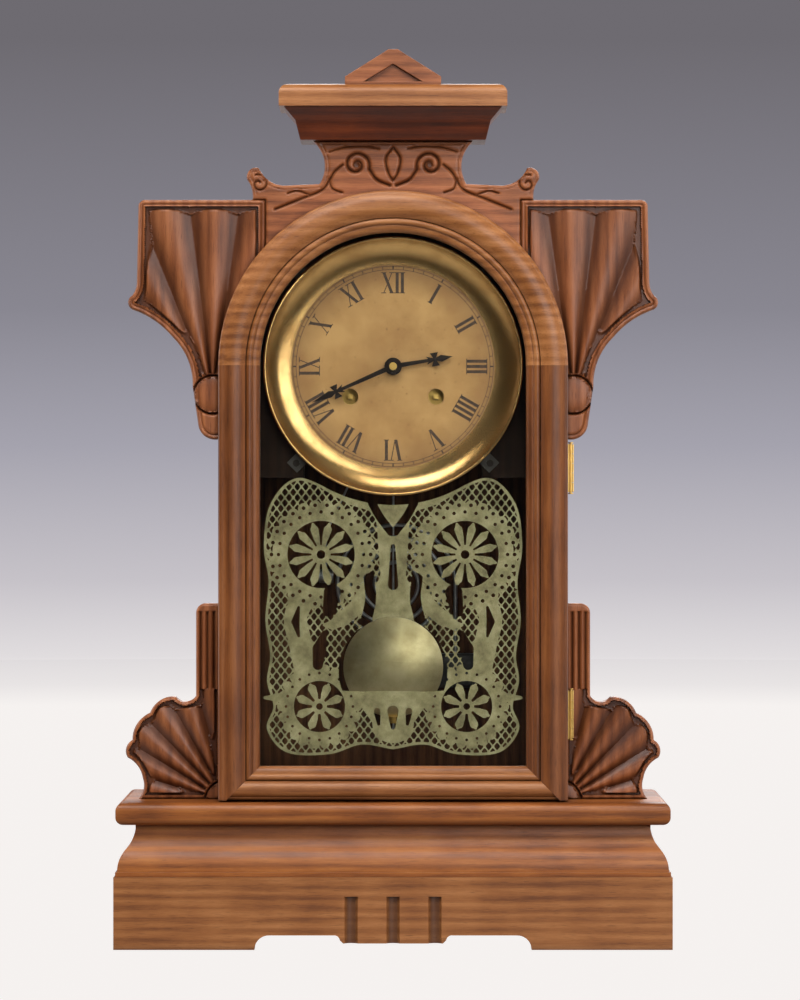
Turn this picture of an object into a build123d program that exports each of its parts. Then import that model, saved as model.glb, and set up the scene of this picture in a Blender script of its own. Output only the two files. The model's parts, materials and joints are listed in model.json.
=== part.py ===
from build123d import *
import os
from math import acos, atan2, cos, degrees, pi, radians, sin, sqrt

os.makedirs("parts", exist_ok=True)

# Wooden kitchen clock, in millimetres: +X right, +Y to the back, +Z up,
# origin at the middle of the base on the shelf.

# Overall
HEIGHT = 560.0
BASE_HALF = 173.5
BASE_FRONT = -62.0
BASE_BACK = 62.0

# Base: skirt, moulding and top board
SKIRT_TOP = 45.0
SKIRT_THICK = 12.0
MOULDING_TOP = 77.0
TOP_BOARD_TOP = 91.0
TOP_BOARD_HALF = 172.3
TOP_BOARD_NOSE = 5.0
FOOT_INNER = 86.0
APRON_Z = 9.0
APRON_CURVE = 9.0
PENDANT_HALF = 33.0
PENDANT_Z = 4.0
PENDANT_FLUTES = 3
FLUTE_PITCH = 26.0
FLUTE_R = 4.5
FLUTE_TOP = 34.0
SIDE_FOOT = 26.0

# Case box
WALL = 9.0
CASE_HALF = 108.5
CASE_FRONT = -28.0
CASE_BACK = 50.0
CASE_TOP = 466.0
BACKBOARD = 6.0
FRAME_FRONT = -38.0
STILE_INNER = 84.5
STILE_TOP = 317.0
FRAME_RAIL_TOP = 110.0
JOINT_GAP = 0.1

# Dial and door centre
DIAL_Z = 363.0
DIAL_R = 64.0
BEZEL_R = 81.5
OPENING_R = 84.5

# Ears and crest
EAR_JOINT_X = 80.0
EAR_TOP = 467.0
NECK_HALF = 46.0
CREST_TOP = 504.0
CORNICE_TOP = 524.0
CAP_TOP = 538.0

# Lower scroll brackets
BRACKET_FRONT = -26.0
BRACKET_BACK = -14.0

# Door
DOOR_BACK = -38.3
DOOR_OUT = 109.0
DOOR_IN = 83.0
DOOR_BOTTOM = 92.0
RAIL_TOP = 113.0
GLASS_THICK = 2.0
GLASS_HALF = 87.5
REBATE_R = 88.0
REBATE_DEEP = 5.0

# Door hinges and catch
HINGE_X = 111.2
HINGE_Y = -38.15
HINGE_LOW_Z = (130.0, 284.0)
HINGE_LENGTH = 30.0
KNUCKLES = 5
KNUCKLE_GAP = 0.3
BARREL_R = 2.0
PIN_R = 0.8
PIN_CLEAR = 0.06
LEAF_THICK = 1.0
CATCH_X = -93.0
CATCH_Z = 240.0
CATCH_PIN_R = 1.5

# Movement plates, counted from the dial centre
PLATE_HALF = 52.0
PLATE_LOW = -46.0
PLATE_HIGH = 54.0
PLATE_THICK = 1.5
FRONT_PLATE = -12.0
REAR_PLATE = 18.0
PILLAR_R = 2.6
PIVOT_R = 0.7
PIVOT_CLEAR = 0.05
ARBOR_R = 0.9

# Pendulum
VERGE_UP = 46.0
PENDULUM_LENGTH = 237.0
PENDULUM_Y = 27.0
BOB_R = 32.0
ROD_R = 0.75

# Time on the dial at rest
HOUR_SHOWN = 2
MINUTE_SHOWN = 41


def front(y, x=0.0, z=0.0):
    """Plane facing the viewer at depth y, with its origin at x, z."""
    return Plane(origin=(x, y, z), x_dir=(1, 0, 0), z_dir=(0, -1, 0))


def polar(radius, angle):
    """Point at a radius and an angle in degrees from +X."""
    return (radius * cos(radians(angle)), radius * sin(radians(angle)))


# Front skirt with two feet and a fluted centre pendant
def skirt_half(side):
    """Lower edge of one half of the skirt, from the foot's corner to the pendant's middle."""
    curve = APRON_CURVE * (1 - cos(radians(45)))
    Line((side * BASE_HALF, SKIRT_TOP), (side * BASE_HALF, 0))
    Line((side * BASE_HALF, 0), (side * FOOT_INNER, 0))
    ThreePointArc(
        (side * FOOT_INNER, 0),
        (side * (FOOT_INNER - curve), APRON_Z - curve),
        (side * (FOOT_INNER - APRON_CURVE), APRON_Z),
    )
    Line((side * (FOOT_INNER - APRON_CURVE), APRON_Z), (side * (PENDANT_HALF + 4), APRON_Z))
    ThreePointArc(
        (side * (PENDANT_HALF + 4), APRON_Z),
        (side * (PENDANT_HALF + 1), APRON_Z - 1),
        (side * PENDANT_HALF, PENDANT_Z + 2),
    )
    Line((side * PENDANT_HALF, PENDANT_Z + 2), (side * (PENDANT_HALF - 2), PENDANT_Z))
    Line((side * (PENDANT_HALF - 2), PENDANT_Z), (0, PENDANT_Z))


with BuildPart() as base_front_skirt:
    with BuildSketch(front(BASE_FRONT + SKIRT_THICK)):
        with BuildLine():
            skirt_half(1)
            skirt_half(-1)
            Line((-BASE_HALF, SKIRT_TOP), (BASE_HALF, SKIRT_TOP))
        make_face()
    extrude(amount=SKIRT_THICK)
    # Round flutes cut upright in the pendant
    with Locations((0, BASE_FRONT - FLUTE_R * 0.4, PENDANT_Z - 1)):
        with GridLocations(FLUTE_PITCH, 1, PENDANT_FLUTES, 1):
            Cylinder(
                FLUTE_R,
                FLUTE_TOP - PENDANT_Z,
                align=(Align.CENTER, Align.CENTER, Align.MIN),
                mode=Mode.SUBTRACT,
            )
base_front_skirt.part.label = "base_front_skirt"
export_step(base_front_skirt.part, "parts/base_front_skirt.step")

# Side skirts, one board each side, butted behind the front skirt
with BuildPart() as base_side_skirts:
    with BuildSketch(Plane.YZ.offset(BASE_HALF - SKIRT_THICK)):
        with BuildLine():
            Polyline(
                (BASE_FRONT + SKIRT_THICK, 0),
                (-SIDE_FOOT, 0),
                (-SIDE_FOOT + APRON_Z, APRON_Z),
                (SIDE_FOOT - APRON_Z, APRON_Z),
                (SIDE_FOOT, 0),
                (BASE_BACK, 0),
                (BASE_BACK, SKIRT_TOP),
                (BASE_FRONT + SKIRT_THICK, SKIRT_TOP),
                close=True,
            )
        make_face()
    extrude(amount=SKIRT_THICK)
    mirror(about=Plane.YZ)
base_side_skirts.part.label = "base_side_skirts"
export_step(base_side_skirts.part, "parts/base_side_skirts.step")

# Plain rail that closes the back of the base
with BuildPart() as base_back_rail:
    with Locations((0, BASE_BACK - SKIRT_THICK / 2, APRON_Z)):
        Box(
            2 * (BASE_HALF - SKIRT_THICK),
            SKIRT_THICK,
            MOULDING_TOP - APRON_Z,
            align=(Align.CENTER, Align.CENTER, Align.MIN),
        )
base_back_rail.part.label = "base_back_rail"
export_step(base_back_rail.part, "parts/base_back_rail.step")

# Moulded band between the skirt and the top board
MOULDING_DEEP = 22.0
MOULDING_TOP_SET = 12.0
MOULDING_MID_SET = 7.0
MOULDING_FILLET = 3.0
MOULDING_TOE = 1.2


def band_profile():
    """Closed section of the band: a convex lower half under a hollow upper half."""
    low = SKIRT_TOP
    high = MOULDING_TOP
    mid = low + 0.55 * (high - low)
    Line((0, low), (MOULDING_DEEP, low))
    Line((MOULDING_DEEP, low), (MOULDING_DEEP, high))
    Line((MOULDING_DEEP, high), (MOULDING_TOP_SET, high))
    Line((MOULDING_TOP_SET, high), (MOULDING_TOP_SET, high - MOULDING_FILLET))
    ThreePointArc(
        (MOULDING_TOP_SET, high - MOULDING_FILLET),
        (MOULDING_MID_SET + 3.3, mid + 5.5),
        (MOULDING_MID_SET, mid),
    )
    toe = (MOULDING_TOE, low + MOULDING_FILLET)
    ThreePointArc((MOULDING_MID_SET, mid), (2 * MOULDING_TOE, low + 10.5), toe)
    Line(toe, (0, low + MOULDING_FILLET))
    Line((0, low + MOULDING_FILLET), (0, low))


BAND_OUT = 172.5
BAND_FRONT = BASE_FRONT + 1.0

with BuildPart() as base_front_moulding:
    with BuildSketch(
        Plane(origin=(-BAND_OUT, BAND_FRONT, 0), x_dir=(0, 1, 0), z_dir=(1, 0, 0))
    ):
        with BuildLine():
            band_profile()
        make_face()
    extrude(amount=2 * BAND_OUT)
    split(bisect_by=Plane(origin=(BAND_OUT, BAND_FRONT, 0), z_dir=(-1, -1, 0)), keep=Keep.TOP)
    split(bisect_by=Plane(origin=(-BAND_OUT, BAND_FRONT, 0), z_dir=(1, -1, 0)), keep=Keep.TOP)
base_front_moulding.part.label = "base_front_moulding"
export_step(base_front_moulding.part, "parts/base_front_moulding.step")

with BuildPart() as base_side_mouldings:
    with BuildSketch(
        Plane(origin=(BAND_OUT, BAND_FRONT, 0), x_dir=(-1, 0, 0), z_dir=(0, 1, 0))
    ):
        with BuildLine():
            band_profile()
        make_face()
    extrude(amount=BASE_BACK - BAND_FRONT - SKIRT_THICK)
    split(bisect_by=Plane(origin=(BAND_OUT, BAND_FRONT, 0), z_dir=(-1, -1, 0)), keep=Keep.BOTTOM)
    mirror(about=Plane.YZ)
base_side_mouldings.part.label = "base_side_mouldings"
export_step(base_side_mouldings.part, "parts/base_side_mouldings.step")

# Top board with a rounded nose on three sides
with BuildPart() as base_top_board:
    with BuildSketch(Plane.XY.offset(MOULDING_TOP)):
        with Locations((0, (BASE_BACK + BASE_FRONT) / 2 + 0.5)):
            Rectangle(2 * TOP_BOARD_HALF, BASE_BACK - BASE_FRONT - 1)
    extrude(amount=TOP_BOARD_TOP - MOULDING_TOP)
    nose = (
        base_top_board.edges()
        .filter_by(Plane.XY)
        .filter_by(lambda edge: edge.center().Y < BASE_BACK - 1)
    )
    fillet(nose, radius=TOP_BOARD_NOSE)
base_top_board.part.label = "base_top_board"
export_step(base_top_board.part, "parts/base_top_board.step")

# Glue blocks: three-cornered in the base, square under the cornice and behind the ears
BLOCK_LEG = 20.0
NECK_BLOCK = (20.0, 16.0, 24.0)
NECK_BLOCK_X = 24.0
EAR_BLOCK = (10.0, 12.0, 60.0)
EAR_BLOCK_Z = 395.0
with BuildPart() as glue_blocks:
    with BuildSketch(Plane.XY.offset(APRON_Z + 2)):
        inner = BASE_HALF - SKIRT_THICK
        for side in (1, -1):
            for y_wall, turn in ((BASE_FRONT + SKIRT_THICK, 1), (BASE_BACK - SKIRT_THICK, -1)):
                with BuildLine():
                    Polyline(
                        (side * inner, y_wall),
                        (side * (inner - BLOCK_LEG), y_wall),
                        (side * inner, y_wall + turn * BLOCK_LEG),
                        close=True,
                    )
                make_face()
    extrude(amount=SKIRT_TOP - APRON_Z - 3)
    for side in (-1, 1):
        with Locations((side * NECK_BLOCK_X, CASE_FRONT, CREST_TOP)):
            Box(*NECK_BLOCK, align=(Align.CENTER, Align.MIN, Align.MAX))
        with Locations((side * CASE_HALF, CASE_FRONT, EAR_BLOCK_Z)):
            Box(*EAR_BLOCK, align=(Align.MIN if side > 0 else Align.MAX, Align.MIN, Align.MIN))
glue_blocks.part.label = "glue_blocks"
export_step(glue_blocks.part, "parts/glue_blocks.step")

# Case sides, one board each
with BuildPart() as case_sides:
    for side in (-1, 1):
        with Locations((side * (CASE_HALF - WALL / 2), (CASE_FRONT + CASE_BACK) / 2, TOP_BOARD_TOP)):
            Box(
                WALL,
                CASE_BACK - CASE_FRONT,
                CASE_TOP - TOP_BOARD_TOP,
                align=(Align.CENTER, Align.CENTER, Align.MIN),
            )
case_sides.part.label = "case_sides"
export_step(case_sides.part, "parts/case_sides.step")

# Case top board, between the sides
with BuildPart() as case_top_board:
    with Locations((0, (CASE_FRONT + CASE_BACK) / 2, CASE_TOP - WALL)):
        Box(
            2 * (CASE_HALF - WALL),
            CASE_BACK - CASE_FRONT,
            WALL,
            align=(Align.CENTER, Align.CENTER, Align.MIN),
        )
case_top_board.part.label = "case_top_board"
export_step(case_top_board.part, "parts/case_top_board.step")

# Thin backboard over the whole box
with BuildPart() as case_back_board:
    with Locations((0, CASE_BACK + BACKBOARD / 2, TOP_BOARD_TOP)):
        Box(
            2 * CASE_HALF,
            BACKBOARD,
            CASE_TOP - TOP_BOARD_TOP,
            align=(Align.CENTER, Align.CENTER, Align.MIN),
        )
case_back_board.part.label = "case_back_board"
export_step(case_back_board.part, "parts/case_back_board.step")

# Front frame: two stiles, the left one bored for the door catch, and the rail below
with BuildPart() as front_frame:
    for side in (-1, 1):
        with Locations((side * (CASE_HALF + STILE_INNER) / 2, CASE_FRONT, TOP_BOARD_TOP)):
            Box(
                CASE_HALF - STILE_INNER,
                CASE_FRONT - FRAME_FRONT,
                STILE_TOP - TOP_BOARD_TOP,
                align=(Align.CENTER, Align.MAX, Align.MIN),
            )
    with BuildSketch(front(CASE_FRONT, CATCH_X, CATCH_Z)):
        Circle(CATCH_PIN_R + 2)
    extrude(amount=CASE_FRONT - FRAME_FRONT, mode=Mode.SUBTRACT)
    with Locations((0, CASE_FRONT, TOP_BOARD_TOP)):
        Box(
            2 * (STILE_INNER - JOINT_GAP),
            CASE_FRONT - FRAME_FRONT,
            FRAME_RAIL_TOP - TOP_BOARD_TOP,
            align=(Align.CENTER, Align.MAX, Align.MIN),
        )
front_frame.part.label = "front_frame"
export_step(front_frame.part, "parts/front_frame.step")

# Ears, cut boards that stand out each side of the dial
EAR_ARC_Z = DIAL_Z + sqrt(OPENING_R**2 - EAR_JOINT_X**2)
EAR_ARC_MID = polar(OPENING_R, degrees(acos(EAR_JOINT_X / OPENING_R)) / 2)


def ear_outline(side):
    """Outline of one ear: plain inner edge, swept lower edge, pointed tip, straight top."""
    foot = (side * 110.0, STILE_TOP)
    knee = (side * 122.0, 326.0)
    waist = (side * 125.5, 350.0)
    sweep = (side * 138.0, 381.0)
    tip_low = (side * 163.5, 398.5)
    tip_high = (side * 163.5, 407.0)
    outer_low = (side * 160.5, 416.0)
    outer_high = (side * 159.5, 462.0)
    top_corner = (side * 155.0, EAR_TOP)
    Line((side * OPENING_R, STILE_TOP), foot)
    ThreePointArc(foot, (side * 118.5, 319.5), knee)
    Line(knee, waist)
    ThreePointArc(waist, (side * 129.0, 368.0), sweep)
    ThreePointArc(sweep, (side * 149.5, 391.5), tip_low)
    ThreePointArc(tip_low, (side * 166.0, 402.5), tip_high)
    ThreePointArc(tip_high, (side * 161.3, 411.0), outer_low)
    Line(outer_low, outer_high)
    ThreePointArc(outer_high, (side * 158.3, 465.7), top_corner)
    Line(top_corner, (side * EAR_JOINT_X, EAR_TOP))
    Line((side * EAR_JOINT_X, EAR_TOP), (side * EAR_JOINT_X, EAR_ARC_Z))
    ThreePointArc(
        (side * EAR_JOINT_X, EAR_ARC_Z),
        (side * EAR_ARC_MID[0], DIAL_Z + EAR_ARC_MID[1]),
        (side * OPENING_R, DIAL_Z),
    )
    Line((side * OPENING_R, DIAL_Z), (side * OPENING_R, STILE_TOP))


with BuildPart() as side_ears:
    for side in (-1, 1):
        with BuildSketch(front(CASE_FRONT)):
            with BuildLine():
                ear_outline(side)
            make_face()
        extrude(amount=CASE_FRONT - FRAME_FRONT)
side_ears.part.label = "side_ears"
export_step(side_ears.part, "parts/side_ears.step")

# Crest board over the dial, with two pointed scrolls and a neck under the cornice
def crest_half(side):
    """One half of the crest's outline above the ears."""
    shoulder = (side * 88.0, EAR_TOP)
    tip_out = (side * 91.5, 480.0)
    tip_top = (side * 84.0, 487.0)
    hollow = (side * 68.0, 476.0)
    neck_low = (side * NECK_HALF, 477.0)
    neck_mid = (side * 43.0, 491.0)
    neck_high = (side * 50.0, CREST_TOP)
    Line((side * EAR_JOINT_X, EAR_ARC_Z), (side * EAR_JOINT_X, EAR_TOP))
    Line((side * EAR_JOINT_X, EAR_TOP), shoulder)
    ThreePointArc(shoulder, (side * 88.5, 474.0), tip_out)
    ThreePointArc(tip_out, (side * 90.0, 485.5), tip_top)
    ThreePointArc(tip_top, (side * 77.5, 479.0), hollow)
    Line(hollow, neck_low)
    ThreePointArc(neck_low, neck_mid, neck_high)
    Line(neck_high, (0, CREST_TOP))


with BuildPart() as crest_board:
    with BuildSketch(front(CASE_FRONT)):
        with BuildLine():
            crest_half(1)
            crest_half(-1)
            ThreePointArc(
                (-EAR_JOINT_X, EAR_ARC_Z), (0, DIAL_Z + OPENING_R), (EAR_JOINT_X, EAR_ARC_Z)
            )
        make_face()
    extrude(amount=CASE_FRONT - FRAME_FRONT)
crest_board.part.label = "crest_board"
export_step(crest_board.part, "parts/crest_board.step")

# Cornice moulding: front and two returns as one block, upright below and flared above
CORNICE_BOTTOM_HALF = 58.0
CORNICE_TOP_HALF = 68.0
CORNICE_FRONT_LOW = -45.0
CORNICE_FRONT_HIGH = -55.0
CORNICE_BACK = -8.0
CORNICE_BREAK = CREST_TOP + 12
CORNICE_STEP = 3.0
with BuildPart() as cornice_moulding:
    cornice_levels = [
        (CREST_TOP, CORNICE_BOTTOM_HALF, CORNICE_FRONT_LOW),
        (CORNICE_BREAK, CORNICE_BOTTOM_HALF + CORNICE_STEP, CORNICE_FRONT_LOW - CORNICE_STEP),
        (CORNICE_TOP, CORNICE_TOP_HALF, CORNICE_FRONT_HIGH),
    ]
    for pair in (cornice_levels[:2], cornice_levels[1:]):
        for level, half, y_front in pair:
            with BuildSketch(Plane.XY.offset(level)):
                with Locations((0, (y_front + CORNICE_BACK) / 2)):
                    Rectangle(2 * half, CORNICE_BACK - y_front)
        loft(ruled=True)
cornice_moulding.part.label = "cornice_moulding"
export_step(cornice_moulding.part, "parts/cornice_moulding.step")

# Cap board on the cornice, with a rounded edge
CAP_HALF = 71.0
CAP_FRONT = -58.5
CAP_ROUND = 6.0
with BuildPart() as cornice_cap:
    with BuildSketch(Plane.XY.offset(CORNICE_TOP)):
        with Locations((0, (CAP_FRONT + CORNICE_BACK) / 2)):
            Rectangle(2 * CAP_HALF, CORNICE_BACK - CAP_FRONT)
    extrude(amount=CAP_TOP - CORNICE_TOP)
    rounded = (
        cornice_cap.edges()
        .filter_by(Plane.XY)
        .filter_by(lambda edge: edge.center().Y < CORNICE_BACK - 1)
        .group_by(Axis.Z)[-1]
    )
    fillet(rounded, radius=CAP_ROUND)
cornice_cap.part.label = "cornice_cap"
export_step(cornice_cap.part, "parts/cornice_cap.step")

# Small gable board standing on the cap
GABLE_HALF = 30.0
GABLE_FRONT = -50.0
GABLE_THICK = 10.0
GABLE_LIP = 5.0
GABLE_TIP = 3.0
PANEL_HALF = 18.0
PANEL_LOW = CAP_TOP + 2
PANEL_HIGH = HEIGHT - 9
PANEL_DEEP = 2.5
with BuildPart() as pediment_gable:
    with BuildSketch(front(GABLE_FRONT + GABLE_THICK)):
        with BuildLine():
            Polyline(
                (-GABLE_HALF, CAP_TOP),
                (GABLE_HALF, CAP_TOP),
                (GABLE_HALF, CAP_TOP + GABLE_LIP),
                (2 * GABLE_TIP, HEIGHT - 2),
                (GABLE_TIP, HEIGHT),
                (-GABLE_TIP, HEIGHT),
                (-2 * GABLE_TIP, HEIGHT - 2),
                (-GABLE_HALF, CAP_TOP + GABLE_LIP),
                close=True,
            )
        make_face()
    extrude(amount=GABLE_THICK)
    with BuildSketch(front(GABLE_FRONT)):
        with BuildLine():
            Polyline((-PANEL_HALF, PANEL_LOW), (PANEL_HALF, PANEL_LOW), (0, PANEL_HIGH), close=True)
        make_face()
    extrude(amount=-PANEL_DEEP, mode=Mode.SUBTRACT)
pediment_gable.part.label = "pediment_gable"
export_step(pediment_gable.part, "parts/pediment_gable.step")


# Lower scroll brackets, one board each side with the tall block above it
def bracket_outline(side):
    """Outline of one bracket from the base up to the top of its block."""
    foot = (side * 160.0, TOP_BOARD_TOP)
    ankle = (side * 157.5, 104.0)
    tip = (side * 167.0, 117.0)
    shoulder = (side * 164.0, 128.0)
    crown = (side * 153.0, 145.0)
    bump = (side * 137.0, 155.0)
    notch = (side * 124.0, 156.0)
    block_high = (side * 124.0, 208.0)
    Line((side * CASE_HALF, TOP_BOARD_TOP), foot)
    ThreePointArc(foot, (side * 157.0, 97.0), ankle)
    ThreePointArc(ankle, (side * 160.5, 111.5), tip)
    ThreePointArc(tip, (side * 168.0, 123.0), shoulder)
    ThreePointArc(shoulder, (side * 161.0, 138.5), crown)
    ThreePointArc(crown, (side * 146.5, 153.0), bump)
    ThreePointArc(bump, (side * 130.0, 152.0), notch)
    Line(notch, block_high)
    ThreePointArc(block_high, (side * 122.5, 212.0), (side * 118.0, 214.0))
    Line((side * 118.0, 214.0), (side * CASE_HALF, 214.0))
    Line((side * CASE_HALF, 214.0), (side * CASE_HALF, TOP_BOARD_TOP))


with BuildPart() as lower_brackets:
    for side in (-1, 1):
        with BuildSketch(front(BRACKET_BACK)):
            with BuildLine():
                bracket_outline(side)
            make_face()
        extrude(amount=BRACKET_BACK - BRACKET_FRONT)
lower_brackets.part.label = "lower_brackets"
export_step(lower_brackets.part, "parts/lower_brackets.step")


# Door frame: one moulded section used for the arch, the stiles and the rail
def door_profile(outer, place):
    """Section of the door frame; place turns distance out and height off the back into a point."""
    ring = [
        (outer, 0),
        (outer, 11.5),
        (outer - 2, 13.5),
        (92, 13),
        (92, 11.5),
        (87.5, 11.5),
        (DOOR_IN, 8.5),
        (DOOR_IN, REBATE_DEEP),
        (REBATE_R, REBATE_DEEP),
        (REBATE_R, 0),
    ]
    p = [place(*corner) for corner in ring]
    Line(p[0], p[1])
    ThreePointArc(p[1], place(outer - 0.6, 12.9), p[2])
    ThreePointArc(p[2], place((outer + 90) / 2, 16), p[3])
    Line(p[3], p[4])
    ThreePointArc(p[4], place(89.75, 13.2), p[5])
    ThreePointArc(p[5], place(84.6, 10.7), p[6])
    Polyline(*p[6:], p[0])


def above(distance, height):
    """Section point for the arch and stiles, seen from above."""
    return (distance, DOOR_BACK - height)


def below(distance, height):
    """Section point of the rail, on a plane facing +X."""
    return (DOOR_BACK - height, RAIL_TOP + DOOR_IN - distance)


with BuildPart() as door_arch:
    with BuildSketch(Plane.XY.offset(DIAL_Z)):
        with BuildLine():
            door_profile(DOOR_OUT, above)
        make_face()
    revolve(axis=Axis((0, 0, DIAL_Z), (0, -1, 0)), revolution_arc=180)
door_arch.part.label = "door_arch"
export_step(door_arch.part, "parts/door_arch.step")

with BuildPart() as door_stiles:
    with BuildSketch(Plane.XY.offset(DOOR_BOTTOM)):
        with BuildLine():
            door_profile(DOOR_OUT, above)
        make_face()
    extrude(amount=DIAL_Z - DOOR_BOTTOM)
    split(bisect_by=Plane(origin=(DOOR_IN, 0, RAIL_TOP), z_dir=(1, 0, 1)), keep=Keep.TOP)
    mirror(about=Plane.YZ)
door_stiles.part.label = "door_stiles"
export_step(door_stiles.part, "parts/door_stiles.step")

with BuildPart() as door_bottom_rail:
    with BuildSketch(Plane.YZ.offset(-DOOR_OUT)):
        with BuildLine():
            door_profile(DOOR_IN + RAIL_TOP - DOOR_BOTTOM, below)
        make_face()
    extrude(amount=2 * DOOR_OUT)
    for side in (-1, 1):
        mitre = Plane(origin=(side * DOOR_IN, 0, RAIL_TOP), z_dir=(side, 0, 1))
        split(bisect_by=mitre, keep=Keep.BOTTOM)
door_bottom_rail.part.label = "door_bottom_rail"
export_step(door_bottom_rail.part, "parts/door_bottom_rail.step")

# Door glass in the rebate, and the strips that hold it
GLASS_FRONT = DOOR_BACK - REBATE_DEEP
GLASS_LOW = RAIL_TOP - (GLASS_HALF - DOOR_IN)


with BuildPart() as door_glass:
    with BuildSketch(front(GLASS_FRONT + GLASS_THICK)):
        with BuildLine():
            Line((-GLASS_HALF, DIAL_Z), (-GLASS_HALF, GLASS_LOW))
            Line((-GLASS_HALF, GLASS_LOW), (GLASS_HALF, GLASS_LOW))
            Line((GLASS_HALF, GLASS_LOW), (GLASS_HALF, DIAL_Z))
            ThreePointArc((GLASS_HALF, DIAL_Z), (0, DIAL_Z + GLASS_HALF), (-GLASS_HALF, DIAL_Z))
        make_face()
    extrude(amount=GLASS_THICK)
door_glass.part.label = "door_glass"
export_step(door_glass.part, "parts/door_glass.step")

STRIP_IN = 84.5
STRIP_OUT = 87.8
STRIP_BACK = DOOR_BACK - 0.2
STRIP_THICK = STRIP_BACK - (GLASS_FRONT + GLASS_THICK)
STRIP_LOW = RAIL_TOP - (STRIP_OUT - DOOR_IN)
STRIP_GAP = 0.2
with BuildPart() as glass_strips:
    with BuildSketch(front(STRIP_BACK)):
        with BuildLine():
            CenterArc((0, DIAL_Z), STRIP_OUT, 0, 180)
            CenterArc((0, DIAL_Z), STRIP_IN, 0, 180)
            Line((STRIP_IN, DIAL_Z), (STRIP_OUT, DIAL_Z))
            Line((-STRIP_IN, DIAL_Z), (-STRIP_OUT, DIAL_Z))
        make_face()
    extrude(amount=STRIP_THICK)
    for side in (-1, 1):
        with Locations((side * (STRIP_IN + STRIP_OUT) / 2, STRIP_BACK, DIAL_Z - STRIP_GAP)):
            Box(
                STRIP_OUT - STRIP_IN,
                STRIP_THICK,
                DIAL_Z - STRIP_LOW - STRIP_GAP,
                align=(Align.CENTER, Align.MAX, Align.MAX),
            )
    with Locations((0, STRIP_BACK, STRIP_LOW)):
        Box(
            2 * (STRIP_IN - STRIP_GAP),
            STRIP_THICK,
            STRIP_OUT - STRIP_IN,
            align=(Align.CENTER, Align.MAX, Align.MIN),
        )
glass_strips.part.label = "glass_strips"
export_step(glass_strips.part, "parts/glass_strips.step")

# Butt hinges: each leaf carries its own knuckles round one pin
KNUCKLE = HINGE_LENGTH / KNUCKLES
LEAF_CLEAR = BARREL_R + 0.4
BORE_R = PIN_R + PIN_CLEAR
PIN_PROUD = 0.5
PIN_HEAD = 0.7
LEAF_REACH = 9.0


def hinge_leaf(face_x, y_far, low, chosen):
    """One hinge leaf on the face x = face_x, with knuckles at the chosen steps."""
    toward = -1 if y_far < HINGE_Y else 1
    near = HINGE_Y + toward * LEAF_CLEAR
    with Locations((face_x, (near + y_far) / 2, low)):
        Box(
            LEAF_THICK,
            abs(y_far - near),
            HINGE_LENGTH,
            align=(Align.MIN, Align.CENTER, Align.MIN),
        )
    for step in chosen:
        z = low + step * KNUCKLE + KNUCKLE_GAP / 2
        length = KNUCKLE - KNUCKLE_GAP
        with Locations((HINGE_X, HINGE_Y, z)):
            Cylinder(BARREL_R, length, align=(Align.CENTER, Align.CENTER, Align.MIN))
        with Locations((face_x, HINGE_Y + toward * 0.2, z)):
            Box(
                LEAF_THICK,
                LEAF_CLEAR,
                length,
                align=(Align.MIN, Align.MIN if toward > 0 else Align.MAX, Align.MIN),
            )


def hinge_bores():
    """Pin holes through every knuckle of both hinges."""
    for low in HINGE_LOW_Z:
        with Locations((HINGE_X, HINGE_Y, low)):
            Cylinder(
                BORE_R,
                HINGE_LENGTH,
                align=(Align.CENTER, Align.CENTER, Align.MIN),
                mode=Mode.SUBTRACT,
            )


with BuildPart() as hinge_door_leaves:
    for low in HINGE_LOW_Z:
        hinge_leaf(DOOR_OUT, DOOR_BACK - LEAF_REACH, low, range(1, KNUCKLES, 2))
    hinge_bores()
hinge_door_leaves.part.label = "hinge_door_leaves"
export_step(hinge_door_leaves.part, "parts/hinge_door_leaves.step")

with BuildPart() as hinge_case_leaves:
    for low in HINGE_LOW_Z:
        hinge_leaf(CASE_HALF, CASE_FRONT - 0.5, low, range(0, KNUCKLES, 2))
    hinge_bores()
    # Headed pins, which stay with the case
    for low in HINGE_LOW_Z:
        with Locations((HINGE_X, HINGE_Y, low - PIN_PROUD)):
            Cylinder(
                PIN_R,
                HINGE_LENGTH + 2 * PIN_PROUD,
                align=(Align.CENTER, Align.CENTER, Align.MIN),
            )
        for z in (low - PIN_PROUD - PIN_HEAD, low + HINGE_LENGTH + PIN_PROUD):
            with Locations((HINGE_X, HINGE_Y, z)):
                Cylinder(2 * PIN_R, PIN_HEAD, align=(Align.CENTER, Align.CENTER, Align.MIN))
hinge_case_leaves.part.label = "hinge_case_leaves"
export_step(hinge_case_leaves.part, "parts/hinge_case_leaves.step")

# Door catch: a pin behind the door's left stile goes into a slotted clip on the frame's back
CATCH_PIN_REACH = 9.0
CLIP_WIDTH = 10.0
CLIP_HIGH = 26.0
CLIP_SLOT = 12.0
CLIP_THICK = 1.0
CLIP_CLEAR = 0.4
with BuildPart() as door_catch_pin:
    with BuildSketch(front(FRAME_FRONT + CATCH_PIN_REACH, CATCH_X, CATCH_Z)):
        Circle(CATCH_PIN_R)
    extrude(amount=CATCH_PIN_REACH + FRAME_FRONT - DOOR_BACK)
door_catch_pin.part.label = "door_catch_pin"
export_step(door_catch_pin.part, "parts/door_catch_pin.step")

with BuildPart() as catch_clip:
    with BuildSketch(front(CASE_FRONT + CLIP_THICK, CATCH_X, CATCH_Z)):
        Rectangle(CLIP_WIDTH, CLIP_HIGH)
        SlotOverall(CLIP_SLOT, 2 * (CATCH_PIN_R + CLIP_CLEAR), rotation=90, mode=Mode.SUBTRACT)
    extrude(amount=CLIP_THICK)
catch_clip.part.label = "catch_clip"
export_step(catch_clip.part, "parts/catch_clip.step")

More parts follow.
